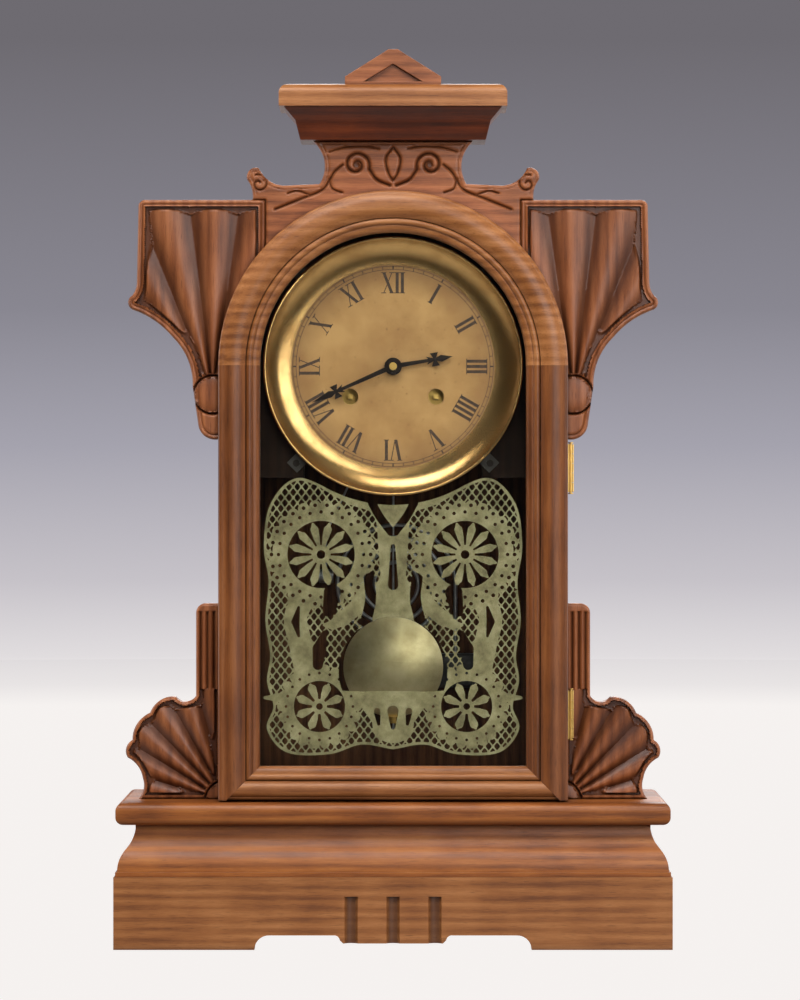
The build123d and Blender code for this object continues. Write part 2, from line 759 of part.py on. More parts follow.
# Dial support strips, one each side, screwed to the case sides
SUPPORT_FRONT = -26.0
SUPPORT_THICK = 12.0
SUPPORT_IN = 56.0
SUPPORT_HIGH = 70.0
TAB_R = 86.0
TAB_ANGLE = 45
TACK_R = 0.7
TACK_LENGTH = 8.0
TACK_HEAD_R = 2.2
TACK_HEAD = 0.8
with BuildPart() as dial_support_strips:
    for side in (-1, 1):
        with Locations((side * (SUPPORT_IN + CASE_HALF - WALL) / 2, SUPPORT_FRONT, DIAL_Z)):
            Box(
                CASE_HALF - WALL - SUPPORT_IN,
                SUPPORT_THICK,
                2 * SUPPORT_HIGH,
                align=(Align.CENTER, Align.MIN, Align.CENTER),
            )
    with BuildSketch(front(SUPPORT_FRONT + TACK_LENGTH + 1, 0, DIAL_Z)):
        with PolarLocations(TAB_R, 4, start_angle=TAB_ANGLE):
            Circle(TACK_R + 0.05)
    extrude(amount=TACK_LENGTH + 1, mode=Mode.SUBTRACT)
dial_support_strips.part.label = "dial_support_strips"
export_step(dial_support_strips.part, "parts/dial_support_strips.step")

# Dial: metal pan with four tabs, printed paper, concave bezel and tacks
PAN_THICK = 0.8
PAPER_THICK = 0.3
PAPER_R = 64.9
WINDING_X = 27.0
WINDING_Z = -19.0
WINDING_HOLE_R = 5.0
CENTRE_HOLE_R = 4.0
PAPER_BACK = SUPPORT_FRONT - PAN_THICK
PAPER_FRONT = PAPER_BACK - PAPER_THICK
TAB_SIZE = (12.0, 9.0)
with BuildPart() as dial_pan:
    with BuildSketch(front(SUPPORT_FRONT, 0, DIAL_Z)):
        Circle(BEZEL_R - 0.1)
        with PolarLocations(TAB_R - 2, 4, start_angle=TAB_ANGLE):
            Rectangle(*TAB_SIZE)
        Circle(CENTRE_HOLE_R, mode=Mode.SUBTRACT)
        with Locations((-WINDING_X, WINDING_Z), (WINDING_X, WINDING_Z)):
            Circle(WINDING_HOLE_R, mode=Mode.SUBTRACT)
        with PolarLocations(TAB_R, 4, start_angle=TAB_ANGLE):
            Circle(TACK_R + 0.2, mode=Mode.SUBTRACT)
    extrude(amount=PAN_THICK)
dial_pan.part.label = "dial_pan"
export_step(dial_pan.part, "parts/dial_pan.step")

with BuildPart() as dial_paper:
    with BuildSketch(front(PAPER_BACK, 0, DIAL_Z)):
        Circle(PAPER_R)
        Circle(CENTRE_HOLE_R, mode=Mode.SUBTRACT)
        with Locations((-WINDING_X, WINDING_Z), (WINDING_X, WINDING_Z)):
            Circle(WINDING_HOLE_R, mode=Mode.SUBTRACT)
    extrude(amount=PAPER_THICK)
dial_paper.part.label = "dial_paper"
export_step(dial_paper.part, "parts/dial_paper.step")

# Bezel section: a dished face between a bead at the paper and a rolled lip, over thin sheet
BEAD = 0.6
BEAD_FOOT_R = 65.8
RIM_Y = -33.8
RIM_WALL = 0.8
with BuildPart() as dial_bezel:
    with BuildSketch(Plane.XY.offset(DIAL_Z)):
        with BuildLine():
            inner_low = (DIAL_R, PAPER_FRONT)
            inner_high = (DIAL_R, PAPER_FRONT - BEAD)
            lip = (79.4, -34.2)
            rim = (BEZEL_R, RIM_Y)
            wall_low = (BEZEL_R - RIM_WALL, PAPER_BACK)
            wall_high = (BEZEL_R - RIM_WALL, RIM_Y + 0.4)
            lip_under = (80.1, RIM_Y + 0.2)
            bead_foot = (BEAD_FOOT_R, PAPER_FRONT)
            Line(inner_low, inner_high)
            ThreePointArc(inner_high, (72.4, -29.4), lip)
            ThreePointArc(lip, (80.6, -34.9), rim)
            Line(rim, (BEZEL_R, PAPER_BACK))
            Line((BEZEL_R, PAPER_BACK), wall_low)
            Line(wall_low, wall_high)
            Line(wall_high, lip_under)
            ThreePointArc(lip_under, (73.6, -28.84), bead_foot)
            Line(bead_foot, inner_low)
        make_face()
    revolve(axis=Axis((0, 0, DIAL_Z), (0, -1, 0)))
dial_bezel.part.label = "dial_bezel"
export_step(dial_bezel.part, "parts/dial_bezel.step")

with BuildPart() as dial_tacks:
    with BuildSketch(front(SUPPORT_FRONT + TACK_LENGTH, 0, DIAL_Z)):
        with PolarLocations(TAB_R, 4, start_angle=TAB_ANGLE):
            Circle(TACK_R)
    extrude(amount=TACK_LENGTH + PAN_THICK)
    with BuildSketch(front(PAPER_BACK, 0, DIAL_Z)):
        with PolarLocations(TAB_R, 4, start_angle=TAB_ANGLE):
            Circle(TACK_HEAD_R)
    extrude(amount=TACK_HEAD)
dial_tacks.part.label = "dial_tacks"
export_step(dial_tacks.part, "parts/dial_tacks.step")

# Wheel counts and modules of the train
GREAT_TEETH = 80
GREAT_PINION = 10
GREAT_MODULE = 0.55
SECOND_TEETH = 48
CENTRE_PINION = 24
SECOND_MODULE = 0.5
CENTRE_TEETH = 72
LEAVES = 8
CENTRE_MODULE = 0.45
THIRD_TEETH = 78
FINE_MODULE = 0.4
ESCAPE_TEETH = 42
ESCAPE_R = 12.5
CANNON_TEETH = 12
MINUTE_TEETH = 36
MINUTE_MODULE = 0.5
MINUTE_PINION = 10
HOUR_TEETH = 40
HOUR_MODULE = 0.48
PIN_WHEEL_TEETH = 72
STRIKE_THIRD_TEETH = 60
STRIKE_PINS = 13
TOOTH_SHARE = 0.44
LEAF_SHARE = 0.34


def spacing(wheel_teeth, pinion_teeth, module):
    """Distance between the arbors of a meshed pair."""
    return (wheel_teeth + pinion_teeth) * module / 2


def joined(a, ra, b, rb, side):
    """Point ra from a and rb from b, on the left (1) or right (-1) of the way from a to b."""
    dx = b[0] - a[0]
    dz = b[1] - a[1]
    gap = sqrt(dx**2 + dz**2)
    along = (ra**2 - rb**2 + gap**2) / (2 * gap)
    off = side * sqrt(ra**2 - along**2)
    return (a[0] + (along * dx - off * dz) / gap, a[1] + (along * dz + off * dx) / gap)


def stacked(below, across, gap):
    """Arbor place at a gap from the one below it and so far across."""
    return (below[0] + across, below[1] + sqrt(gap**2 - across**2))


def meshed(turn, teeth, centre, other_teeth, other_centre):
    """Tooth angle of a wheel in mesh with one whose tooth stands at the angle turn."""
    line = degrees(atan2(other_centre[1] - centre[1], other_centre[0] - centre[0]))
    return line + 180 - (turn - line) * teeth / other_teeth + 180 / other_teeth


# Arbor places, counted from the dial centre
CENTRE = (0.0, 0.0)
TIME_GREAT = (WINDING_X, WINDING_Z)
STRIKE_GREAT = (-WINDING_X, WINDING_Z)
VERGE = (0.0, VERGE_UP)
ESCAPE = (0.0, VERGE_UP - ESCAPE_R / cos(radians(32.1)))
SECOND = joined(
    TIME_GREAT,
    spacing(GREAT_TEETH, GREAT_PINION, GREAT_MODULE),
    CENTRE,
    spacing(SECOND_TEETH, CENTRE_PINION, SECOND_MODULE),
    -1,
)
THIRD = joined(
    CENTRE,
    spacing(CENTRE_TEETH, LEAVES, CENTRE_MODULE),
    ESCAPE,
    spacing(THIRD_TEETH, LEAVES, FINE_MODULE),
    1,
)
MINUTE = polar(spacing(CANNON_TEETH, MINUTE_TEETH, MINUTE_MODULE), 200)
PIN_WHEEL = stacked(STRIKE_GREAT, -11.0, spacing(GREAT_TEETH, GREAT_PINION, GREAT_MODULE))
STRIKE_THIRD = stacked(PIN_WHEEL, 8.0, spacing(PIN_WHEEL_TEETH, LEAVES, FINE_MODULE))
FLY = stacked(STRIKE_THIRD, -6.0, spacing(STRIKE_THIRD_TEETH, LEAVES, FINE_MODULE))
HAMMER = (-20.0, -43.3)

# Depths of the layers between the plates
GREAT_Y = -1.5
SECOND_Y = -6.0
CENTRE_Y = -9.0
THIRD_Y = 4.0
ESCAPE_Y = 10.0
STRIKE_THIRD_Y = 7.0
GREAT_THICK = 1.5
WHEEL_THICK = 1.0
PINION_THICK = 2.4
MINUTE_Y = -16.0
HOUR_Y = -19.5

# Tooth angles, carried through each mesh so that every pair is engaged at rest
GREAT_TURN = 0.0
SECOND_PINION_TURN = meshed(GREAT_TURN, GREAT_TEETH, TIME_GREAT, GREAT_PINION, SECOND)
SECOND_TURN = 0.0
CENTRE_PINION_TURN = meshed(SECOND_TURN, SECOND_TEETH, SECOND, CENTRE_PINION, CENTRE)
CENTRE_TURN = 0.0
THIRD_PINION_TURN = meshed(CENTRE_TURN, CENTRE_TEETH, CENTRE, LEAVES, THIRD)
THIRD_TURN = 0.0
ESCAPE_PINION_TURN = meshed(THIRD_TURN, THIRD_TEETH, THIRD, LEAVES, ESCAPE)
CANNON_TURN = 0.0
MINUTE_TURN = meshed(CANNON_TURN, CANNON_TEETH, CENTRE, MINUTE_TEETH, MINUTE)
MINUTE_PINION_TURN = 0.0
HOUR_TURN = meshed(MINUTE_PINION_TURN, MINUTE_PINION, MINUTE, HOUR_TEETH, CENTRE)
PIN_PINION_TURN = meshed(GREAT_TURN, GREAT_TEETH, STRIKE_GREAT, GREAT_PINION, PIN_WHEEL)
PIN_TURN = 0.0
STRIKE_THIRD_PINION_TURN = meshed(PIN_TURN, PIN_WHEEL_TEETH, PIN_WHEEL, LEAVES, STRIKE_THIRD)
STRIKE_THIRD_TURN = 0.0
FLY_PINION_TURN = meshed(STRIKE_THIRD_TURN, STRIKE_THIRD_TEETH, STRIKE_THIRD, LEAVES, FLY)


def face_at(y, place):
    """Plane facing the viewer at depth y on the arbor at place."""
    return front(y, place[0], DIAL_Z + place[1])


def tooth_points(teeth, module, turn, share, addendum, dedendum):
    """Pointed teeth on a pitch circle, the first centred on the angle turn."""
    pitch_r = teeth * module / 2
    half = degrees(share * pi / teeth)
    points = []
    for tooth in range(teeth):
        middle = turn + 360 * tooth / teeth
        points.append(polar(pitch_r - dedendum * module, middle - half))
        points.append(polar(pitch_r, middle - half))
        points.append(polar(pitch_r + addendum * module, middle))
        points.append(polar(pitch_r, middle + half))
        points.append(polar(pitch_r - dedendum * module, middle + half))
    return points


def slab(points, y_back, place, thick):
    """Flat plate with a straight-sided outline."""
    with BuildSketch(face_at(y_back, place)) as outline:
        with BuildLine():
            Polyline(*points, close=True)
        make_face()
    extrude(outline.sketch, amount=thick)


def bar(place, y_front, y_back, radius, mode=Mode.ADD):
    """Round bar or hole along an arbor's line."""
    with BuildSketch(face_at(y_back, place)) as section:
        Circle(radius)
    extrude(section.sketch, amount=y_back - y_front, mode=mode)


ADDENDUM = 1.0
DEDENDUM = 1.4
RIM_WIDTH = 1.6
ARM_WIDTH = 2.0


def wheel(teeth, module, turn, place, y_back, thick, hub=3.0):
    """Toothed wheel with four windows between its arms."""
    points = tooth_points(teeth, module, turn, TOOTH_SHARE, ADDENDUM, DEDENDUM)
    slab(points, y_back, place, thick)
    rim = teeth * module / 2 - DEDENDUM * module - RIM_WIDTH
    with BuildSketch(face_at(y_back, place)) as windows:
        Circle(rim)
        Circle(hub, mode=Mode.SUBTRACT)
        Rectangle(2 * rim + 1, ARM_WIDTH, mode=Mode.SUBTRACT)
        Rectangle(ARM_WIDTH, 2 * rim + 1, mode=Mode.SUBTRACT)
    extrude(windows.sketch, amount=thick, mode=Mode.SUBTRACT)


def pinion(teeth, module, turn, place, y_back, thick=PINION_THICK):
    """Small toothed pinion."""
    slab(tooth_points(teeth, module, turn, LEAF_SHARE, 0.5, 1.5), y_back, place, thick)


def pivoted(place, radius=ARBOR_R):
    """Arbor between the plates with a thinner pivot in each."""
    bar(place, FRONT_PLATE + 0.2, REAR_PLATE - 0.2, radius)
    bar(place, FRONT_PLATE - PLATE_THICK, REAR_PLATE + PLATE_THICK, PIVOT_R)


# Movement plates with a pivot hole for every arbor
CENTRE_ARBOR_R = 1.2
WINDING_ARBOR_R = 2.0
PILLAR_END_R = 1.5
PILLAR_X = 46.0
PILLAR_LOW = -40.0
PILLAR_HIGH = 48.0
PILLAR_PLACES = [(s * PILLAR_X, z) for s in (-1, 1) for z in (PILLAR_LOW, PILLAR_HIGH)]
THIN_ARBORS = [SECOND, THIRD, ESCAPE, VERGE, PIN_WHEEL, STRIKE_THIRD, FLY, HAMMER]
PLATE_WINDOWS = [(0.0, -30.0, 22.0, 16.0), (27.0, 36.0, 22.0, 14.0)]


def plate(y_back):
    """One movement plate with its pivot holes and windows."""
    with BuildSketch(face_at(y_back, CENTRE)) as face:
        with Locations((0, (PLATE_LOW + PLATE_HIGH) / 2)):
            RectangleRounded(2 * PLATE_HALF, PLATE_HIGH - PLATE_LOW, 4)
        with Locations(*PILLAR_PLACES):
            Circle(PILLAR_END_R, mode=Mode.SUBTRACT)
        with Locations(*THIN_ARBORS):
            Circle(PIVOT_R + PIVOT_CLEAR, mode=Mode.SUBTRACT)
        with Locations(TIME_GREAT, STRIKE_GREAT):
            Circle(WINDING_ARBOR_R + PIVOT_CLEAR, mode=Mode.SUBTRACT)
        Circle(CENTRE_ARBOR_R + PIVOT_CLEAR, mode=Mode.SUBTRACT)
        for x, z, wide, tall in PLATE_WINDOWS:
            with Locations((x, z)):
                RectangleRounded(wide, tall, 3, mode=Mode.SUBTRACT)
    extrude(face.sketch, amount=PLATE_THICK)


with BuildPart() as movement_front_plate:
    plate(FRONT_PLATE)
    bar(MINUTE, HOUR_Y - 2.6, FRONT_PLATE - PLATE_THICK, PIVOT_R)
movement_front_plate.part.label = "movement_front_plate"
export_step(movement_front_plate.part, "parts/movement_front_plate.step")

with BuildPart() as movement_rear_plate:
    plate(REAR_PLATE + PLATE_THICK)
movement_rear_plate.part.label = "movement_rear_plate"
export_step(movement_rear_plate.part, "parts/movement_rear_plate.step")

# Pillars between the plates, riveted behind and closed by nuts in front
with BuildPart() as movement_pillars:
    for place in PILLAR_PLACES:
        bar(place, FRONT_PLATE, REAR_PLATE, PILLAR_R)
        bar(place, FRONT_PLATE - PLATE_THICK - 2, REAR_PLATE + PLATE_THICK, PILLAR_END_R)
    with BuildSketch(face_at(FRONT_PLATE - PLATE_THICK, CENTRE)):
        with Locations(*PILLAR_PLACES):
            RegularPolygon(3.2, 6)
            Circle(PILLAR_END_R + 0.02, mode=Mode.SUBTRACT)
    extrude(amount=1.6)
movement_pillars.part.label = "movement_pillars"
export_step(movement_pillars.part, "parts/movement_pillars.step")

# Four wooden posts that carry the movement on the backboard
POST_R = 4.5
POST_STEP = 7.5
with BuildPart() as movement_posts:
    for x, z in PILLAR_PLACES:
        bar((x - POST_STEP if x > 0 else x + POST_STEP, z), REAR_PLATE + PLATE_THICK, CASE_BACK, POST_R)
movement_posts.part.label = "movement_posts"
export_step(movement_posts.part, "parts/movement_posts.step")

# Mainsprings: flat strip wound as half circles of growing radius
SPRING_IN = 4.5
SPRING_PITCH = 2.0
SPRING_HALF_TURNS = 15
SPRING_THICK = 0.6
SPRING_FRONT = 0.5
SPRING_BACK = 13.5


def spiral(start, growth, halves):
    """Points where a spiral of half circles crosses its own axis, from the inside out."""
    return [((-1) ** step * (start + growth * step), 0) for step in range(halves + 1)]


def half_circles(points, inset):
    """Half circles through the points, all drawn inset nearer their centres."""
    for step, (begin, end) in enumerate(zip(points, points[1:])):
        middle = (begin[0] + end[0]) / 2
        radius = abs(end[0] - begin[0]) / 2 - inset
        way = 1 if begin[0] > 0 else -1
        bow = -1 if step % 2 == 0 else 1
        ThreePointArc(
            (middle + way * radius, 0),
            (middle, bow * radius),
            (middle - way * radius, 0),
        )


with BuildPart() as mainsprings:
    crossings = spiral(SPRING_IN, SPRING_PITCH / 2, SPRING_HALF_TURNS)
    for place in (TIME_GREAT, STRIKE_GREAT):
        with BuildSketch(face_at(SPRING_BACK, place)):
            with BuildLine():
                half_circles(crossings, 0)
                half_circles(crossings, SPRING_THICK)
                Line(crossings[0], (crossings[0][0] - SPRING_THICK, 0))
                Line(crossings[-1], (crossings[-1][0] + SPRING_THICK, 0))
            make_face()
        extrude(amount=SPRING_BACK - SPRING_FRONT)
mainsprings.part.label = "mainsprings"
export_step(mainsprings.part, "parts/mainsprings.step")

# Time train from the great wheel to the escape wheel
RATCHET_TEETH = 14
RATCHET_R = 6.0
RATCHET_ROOT_R = 4.6
SQUARE = 2.8
SQUARE_FRONT = -25.0
RATCHET_THICK = 1.4
CLICK_AT = 48.0
CLICK_STUD_R = 8.0
CLICK_THICK = 1.2


def great_wheel(place):
    """Great wheel with its winding arbor, ratchet and click."""
    wheel(GREAT_TEETH, GREAT_MODULE, GREAT_TURN, place, GREAT_Y, GREAT_THICK, hub=10.0)
    bar(place, FRONT_PLATE - PLATE_THICK, REAR_PLATE + PLATE_THICK, WINDING_ARBOR_R)
    with BuildSketch(face_at(FRONT_PLATE - PLATE_THICK, place)) as square:
        Rectangle(SQUARE, SQUARE)
    extrude(square.sketch, amount=FRONT_PLATE - PLATE_THICK - SQUARE_FRONT)
    saw = []
    for tooth in range(RATCHET_TEETH):
        saw.append(polar(RATCHET_ROOT_R, 360 * tooth / RATCHET_TEETH))
        saw.append(polar(RATCHET_R, 360 * tooth / RATCHET_TEETH))
    slab(saw, GREAT_Y - GREAT_THICK, place, RATCHET_THICK)
    stud_x, stud_z = polar(CLICK_STUD_R, CLICK_AT)
    stud = (place[0] + stud_x, place[1] + stud_z)
    bar(stud, GREAT_Y - GREAT_THICK - 1.6, GREAT_Y - GREAT_THICK, 1.0)
    click = [
        polar(8.6, CLICK_AT + 6),
        polar(7.2, CLICK_AT + 6),
        polar(5.2, CLICK_AT - 22),
        polar(6.6, CLICK_AT - 22),
    ]
    slab(click, GREAT_Y - GREAT_THICK, place, CLICK_THICK)


with BuildPart() as time_great_wheel:
    great_wheel(TIME_GREAT)
time_great_wheel.part.label = "time_great_wheel"
export_step(time_great_wheel.part, "parts/time_great_wheel.step")

with BuildPart() as second_wheel:
    pivoted(SECOND)
    pinion(GREAT_PINION, GREAT_MODULE, SECOND_PINION_TURN, SECOND, GREAT_Y + 0.5, 2.6)
    wheel(SECOND_TEETH, SECOND_MODULE, SECOND_TURN, SECOND, SECOND_Y, WHEEL_THICK)
second_wheel.part.label = "second_wheel"
export_step(second_wheel.part, "parts/second_wheel.step")

CENTRE_ARBOR_FRONT = -33.2
with BuildPart() as centre_wheel:
    bar(CENTRE, CENTRE_ARBOR_FRONT, REAR_PLATE + PLATE_THICK, CENTRE_ARBOR_R)
    pinion(CENTRE_PINION, SECOND_MODULE, CENTRE_PINION_TURN, CENTRE, SECOND_Y + 0.7)
    wheel(CENTRE_TEETH, CENTRE_MODULE, CENTRE_TURN, CENTRE, CENTRE_Y, WHEEL_THICK)
    pinion(CANNON_TEETH, MINUTE_MODULE, CANNON_TURN, CENTRE, MINUTE_Y + 0.5, 2.0)
centre_wheel.part.label = "centre_wheel"
export_step(centre_wheel.part, "parts/centre_wheel.step")

with BuildPart() as third_wheel:
    pivoted(THIRD)
    pinion(LEAVES, CENTRE_MODULE, THIRD_PINION_TURN, THIRD, CENTRE_Y + 0.7)
    wheel(THIRD_TEETH, FINE_MODULE, THIRD_TURN, THIRD, THIRD_Y, WHEEL_THICK)
third_wheel.part.label = "third_wheel"
export_step(third_wheel.part, "parts/third_wheel.step")

ESCAPE_ROOT_R = 10.3
with BuildPart() as escape_wheel:
    pivoted(ESCAPE)
    pinion(LEAVES, FINE_MODULE, ESCAPE_PINION_TURN, ESCAPE, THIRD_Y + 0.7)
    hooked = []
    for tooth in range(ESCAPE_TEETH):
        tip = 360 * tooth / ESCAPE_TEETH
        hooked.append(polar(ESCAPE_ROOT_R, tip - 3.2))
        hooked.append(polar(ESCAPE_R, tip - 0.4))
        hooked.append(polar(ESCAPE_R, tip + 0.4))
        hooked.append(polar(ESCAPE_ROOT_R, tip + 1.2))
    slab(hooked, ESCAPE_Y, ESCAPE, WHEEL_THICK)
escape_wheel.part.label = "escape_wheel"
export_step(escape_wheel.part, "parts/escape_wheel.step")

# Motion work behind the dial
HOUR_PIPE_R = 2.4
HOUR_PIPE_FRONT = -29.6
with BuildPart() as minute_wheel:
    pinion(MINUTE_PINION, HOUR_MODULE, MINUTE_PINION_TURN, MINUTE, MINUTE_Y - WHEEL_THICK, 4.4)
    wheel(MINUTE_TEETH, MINUTE_MODULE, MINUTE_TURN, MINUTE, MINUTE_Y, WHEEL_THICK)
    bar(MINUTE, -25, -10, PIVOT_R + PIVOT_CLEAR, mode=Mode.SUBTRACT)
minute_wheel.part.label = "minute_wheel"
export_step(minute_wheel.part, "parts/minute_wheel.step")

with BuildPart() as hour_wheel:
    wheel(HOUR_TEETH, HOUR_MODULE, HOUR_TURN, CENTRE, HOUR_Y, WHEEL_THICK, hub=4.0)
    bar(CENTRE, HOUR_PIPE_FRONT, HOUR_Y, HOUR_PIPE_R)
    bar(CENTRE, -31, -10, CENTRE_ARBOR_R + 0.07, mode=Mode.SUBTRACT)
hour_wheel.part.label = "hour_wheel"
export_step(hour_wheel.part, "parts/hour_wheel.step")

# Hands, each a tapered blade with a cross-shaped ornament before its point
HAND_THICK = 0.7
HOUR_HAND_Y = -28.7
MINUTE_HAND_Y = -30.9
HOUR_HAND_LENGTH = 38.0
MINUTE_HAND_LENGTH = 56.0
HOUR_BOSS_R = 5.5
MINUTE_BOSS_R = 4.2
HAND_NUT_R = 2.4
HAND_NUT_THICK = 1.3
CROSS_AT = 0.70
CROSS_ARM = 4.2


def pointing(y, angle):
    """Plane facing the viewer whose own up points at a clock angle from twelve."""
    a = radians(angle)
    return Plane(origin=(0, y, DIAL_Z), x_dir=(cos(a), 0, -sin(a)), z_dir=(0, -1, 0))


def hand(y_back, angle, length, boss_r, hole_r):
    """One hand with its boss about the dial centre."""
    knot = CROSS_AT * length
    arm = CROSS_ARM
    with BuildSketch(pointing(y_back, angle)) as blade:
        with BuildLine():
            Polyline(
                (-1.6, 0),
                (-1.0, knot - arm),
                (-2.6, knot - arm - 1.2),
                (-1.0, knot - 1.0),
                (-arm, knot - 2.6),
                (-arm, knot + 2.6),
                (-1.0, knot + 1.0),
                (-2.2, knot + arm),
                (0, length),
                (2.2, knot + arm),
                (1.0, knot + 1.0),
                (arm, knot + 2.6),
                (arm, knot - 2.6),
                (1.0, knot - 1.0),
                (2.6, knot - arm - 1.2),
                (1.0, knot - arm),
                (1.6, 0),
                close=True,
            )
        make_face()
        Circle(boss_r)
        Circle(hole_r, mode=Mode.SUBTRACT)
    extrude(blade.sketch, amount=HAND_THICK)


with BuildPart() as hour_hand:
    hour_angle = 30 * (HOUR_SHOWN + MINUTE_SHOWN / 60)
    hand(HOUR_HAND_Y, hour_angle, HOUR_HAND_LENGTH, HOUR_BOSS_R, HOUR_PIPE_R)
hour_hand.part.label = "hour_hand"
export_step(hour_hand.part, "parts/hour_hand.step")

with BuildPart() as minute_hand:
    hand(MINUTE_HAND_Y, 6 * MINUTE_SHOWN, MINUTE_HAND_LENGTH, MINUTE_BOSS_R, CENTRE_ARBOR_R)
minute_hand.part.label = "minute_hand"
export_step(minute_hand.part, "parts/minute_hand.step")

with BuildPart() as hand_nut:
    with BuildSketch(face_at(MINUTE_HAND_Y - HAND_THICK, CENTRE)):
        Circle(HAND_NUT_R)
        Circle(CENTRE_ARBOR_R, mode=Mode.SUBTRACT)
    extrude(amount=HAND_NUT_THICK)
hand_nut.part.label = "hand_nut"
export_step(hand_nut.part, "parts/hand_nut.step")

# Verge: anchor over the escape wheel, its arbor and the crutch behind the rear plate
ANCHOR_GAP = 0.9
ANCHOR_THICK = 2.0
ANCHOR_SPAN = 32.0
CRUTCH_Y = 22.0
CRUTCH_DROP = 36.0
CRUTCH_WIDE = 2.4
FORK_WIDE = 4.4
FORK_THICK = 1.2
FORK_BACK = 30.0
with BuildPart() as verge:
    pivoted(VERGE)
    bar(VERGE, REAR_PLATE, CRUTCH_Y + 0.5, PIVOT_R)
    anchor_r = ESCAPE_R + ANCHOR_GAP
    with BuildSketch(face_at(ESCAPE_Y + 0.5, ESCAPE)):
        with BuildLine():
            outer = CenterArc((0, 0), anchor_r + 1.8, 90 - ANCHOR_SPAN, 2 * ANCHOR_SPAN)
            inner_arc = CenterArc((0, 0), anchor_r, 90 - ANCHOR_SPAN, 2 * ANCHOR_SPAN)
            Line(outer @ 0, inner_arc @ 0)
            Line(outer @ 1, inner_arc @ 1)
        make_face()
        with Locations((0, VERGE_UP - ESCAPE[1])):
            Circle(1.2)
    extrude(amount=ANCHOR_THICK)
    with Locations((0, CRUTCH_Y, DIAL_Z + VERGE_UP)):
        Box(CRUTCH_WIDE, 1.0, CRUTCH_DROP + FORK_THICK, align=(Align.CENTER, Align.MAX, Align.MAX))
    with BuildSketch(Plane.XY.offset(DIAL_Z + VERGE_UP - CRUTCH_DROP - FORK_THICK)):
        with Locations((0, (CRUTCH_Y - 1 + FORK_BACK) / 2)):
            Rectangle(FORK_WIDE, FORK_BACK - CRUTCH_Y + 1)
        with Locations((0, PENDULUM_Y)):
            Rectangle(2 * ROD_R + 0.3, 4, mode=Mode.SUBTRACT)
    extrude(amount=FORK_THICK)
verge.part.label = "verge"
export_step(verge.part, "parts/verge.step")

# Suspension cock on the rear plate, slotted for the pendulum's spring
COCK_HALF = 3.0
COCK_FOOT = (12.0, 1.5, 5.0)
COCK_ARM = (2 * COCK_HALF, 11.0, 3.5)
COCK_JAW = (2 * COCK_HALF, 7.0, 6.0)
COCK_SLOT = (1.0, 7.0, 4.5)
with BuildPart() as suspension_cock:
    top = DIAL_Z + PLATE_HIGH
    with Locations((0, REAR_PLATE + PLATE_THICK, top)):
        Box(*COCK_FOOT, align=(Align.CENTER, Align.MIN, Align.MAX))
        Box(*COCK_ARM, align=(Align.CENTER, Align.MIN, Align.MAX))
    with Locations((0, PENDULUM_Y, top - COCK_ARM[2])):
        Box(*COCK_JAW, align=(Align.CENTER, Align.CENTER, Align.MAX))
    with Locations((0, PENDULUM_Y, top - COCK_ARM[2] - COCK_JAW[2])):
        Box(*COCK_SLOT, align=(Align.CENTER, Align.CENTER, Align.MIN), mode=Mode.SUBTRACT)
suspension_cock.part.label = "suspension_cock"
export_step(suspension_cock.part, "parts/suspension_cock.step")

# Pendulum: suspension spring and rod, brass bob and rating nut
SPRING_HALF = 0.15
SPRING_DROP = 16.0
BOB_Z = DIAL_Z + VERGE_UP - PENDULUM_LENGTH
BOB_HALF_THICK = 5.0
BOB_RIM = 0.8
BOB_BORE_R = 0.85
ROD_BELOW = 8.0
ROD_BLOCK = (2.0, 4.0, 4.0)
NUT_R = 4.0
NUT_THICK = 4.0
with BuildPart() as pendulum_rod:
    with Locations((0, PENDULUM_Y, DIAL_Z + VERGE_UP + 1.8)):
        Box(2 * SPRING_HALF, 3, SPRING_DROP, align=(Align.CENTER, Align.CENTER, Align.MAX))
    with Locations((0, PENDULUM_Y, DIAL_Z + VERGE_UP - SPRING_DROP + 3)):
        Box(*ROD_BLOCK, align=(Align.CENTER, Align.CENTER, Align.MAX))
    with Locations((0, PENDULUM_Y, BOB_Z - BOB_R - ROD_BELOW)):
        Cylinder(
            ROD_R,
            PENDULUM_LENGTH + BOB_R + ROD_BELOW - SPRING_DROP,
            align=(Align.CENTER, Align.CENTER, Align.MIN),
        )
pendulum_rod.part.label = "pendulum_rod"
export_step(pendulum_rod.part, "parts/pendulum_rod.step")

with BuildPart() as pendulum_bob:
    with BuildSketch(Plane.XY.offset(BOB_Z)):
        with BuildLine():
            Line((0, PENDULUM_Y - BOB_HALF_THICK), (0, PENDULUM_Y + BOB_HALF_THICK))
            ThreePointArc(
                (0, PENDULUM_Y + BOB_HALF_THICK),
                (0.55 * BOB_R, PENDULUM_Y + 0.8 * BOB_HALF_THICK),
                (BOB_R, PENDULUM_Y + BOB_RIM),
            )
            Line((BOB_R, PENDULUM_Y + BOB_RIM), (BOB_R, PENDULUM_Y - BOB_RIM))
            ThreePointArc(
                (BOB_R, PENDULUM_Y - BOB_RIM),
                (0.55 * BOB_R, PENDULUM_Y - 0.8 * BOB_HALF_THICK),
                (0, PENDULUM_Y - BOB_HALF_THICK),
            )
        make_face()
    revolve(axis=Axis((0, PENDULUM_Y, BOB_Z), (0, -1, 0)))
    with Locations((0, PENDULUM_Y, BOB_Z)):
        Cylinder(BOB_BORE_R, 2 * BOB_R + 2, mode=Mode.SUBTRACT)
pendulum_bob.part.label = "pendulum_bob"
export_step(pendulum_bob.part, "parts/pendulum_bob.step")

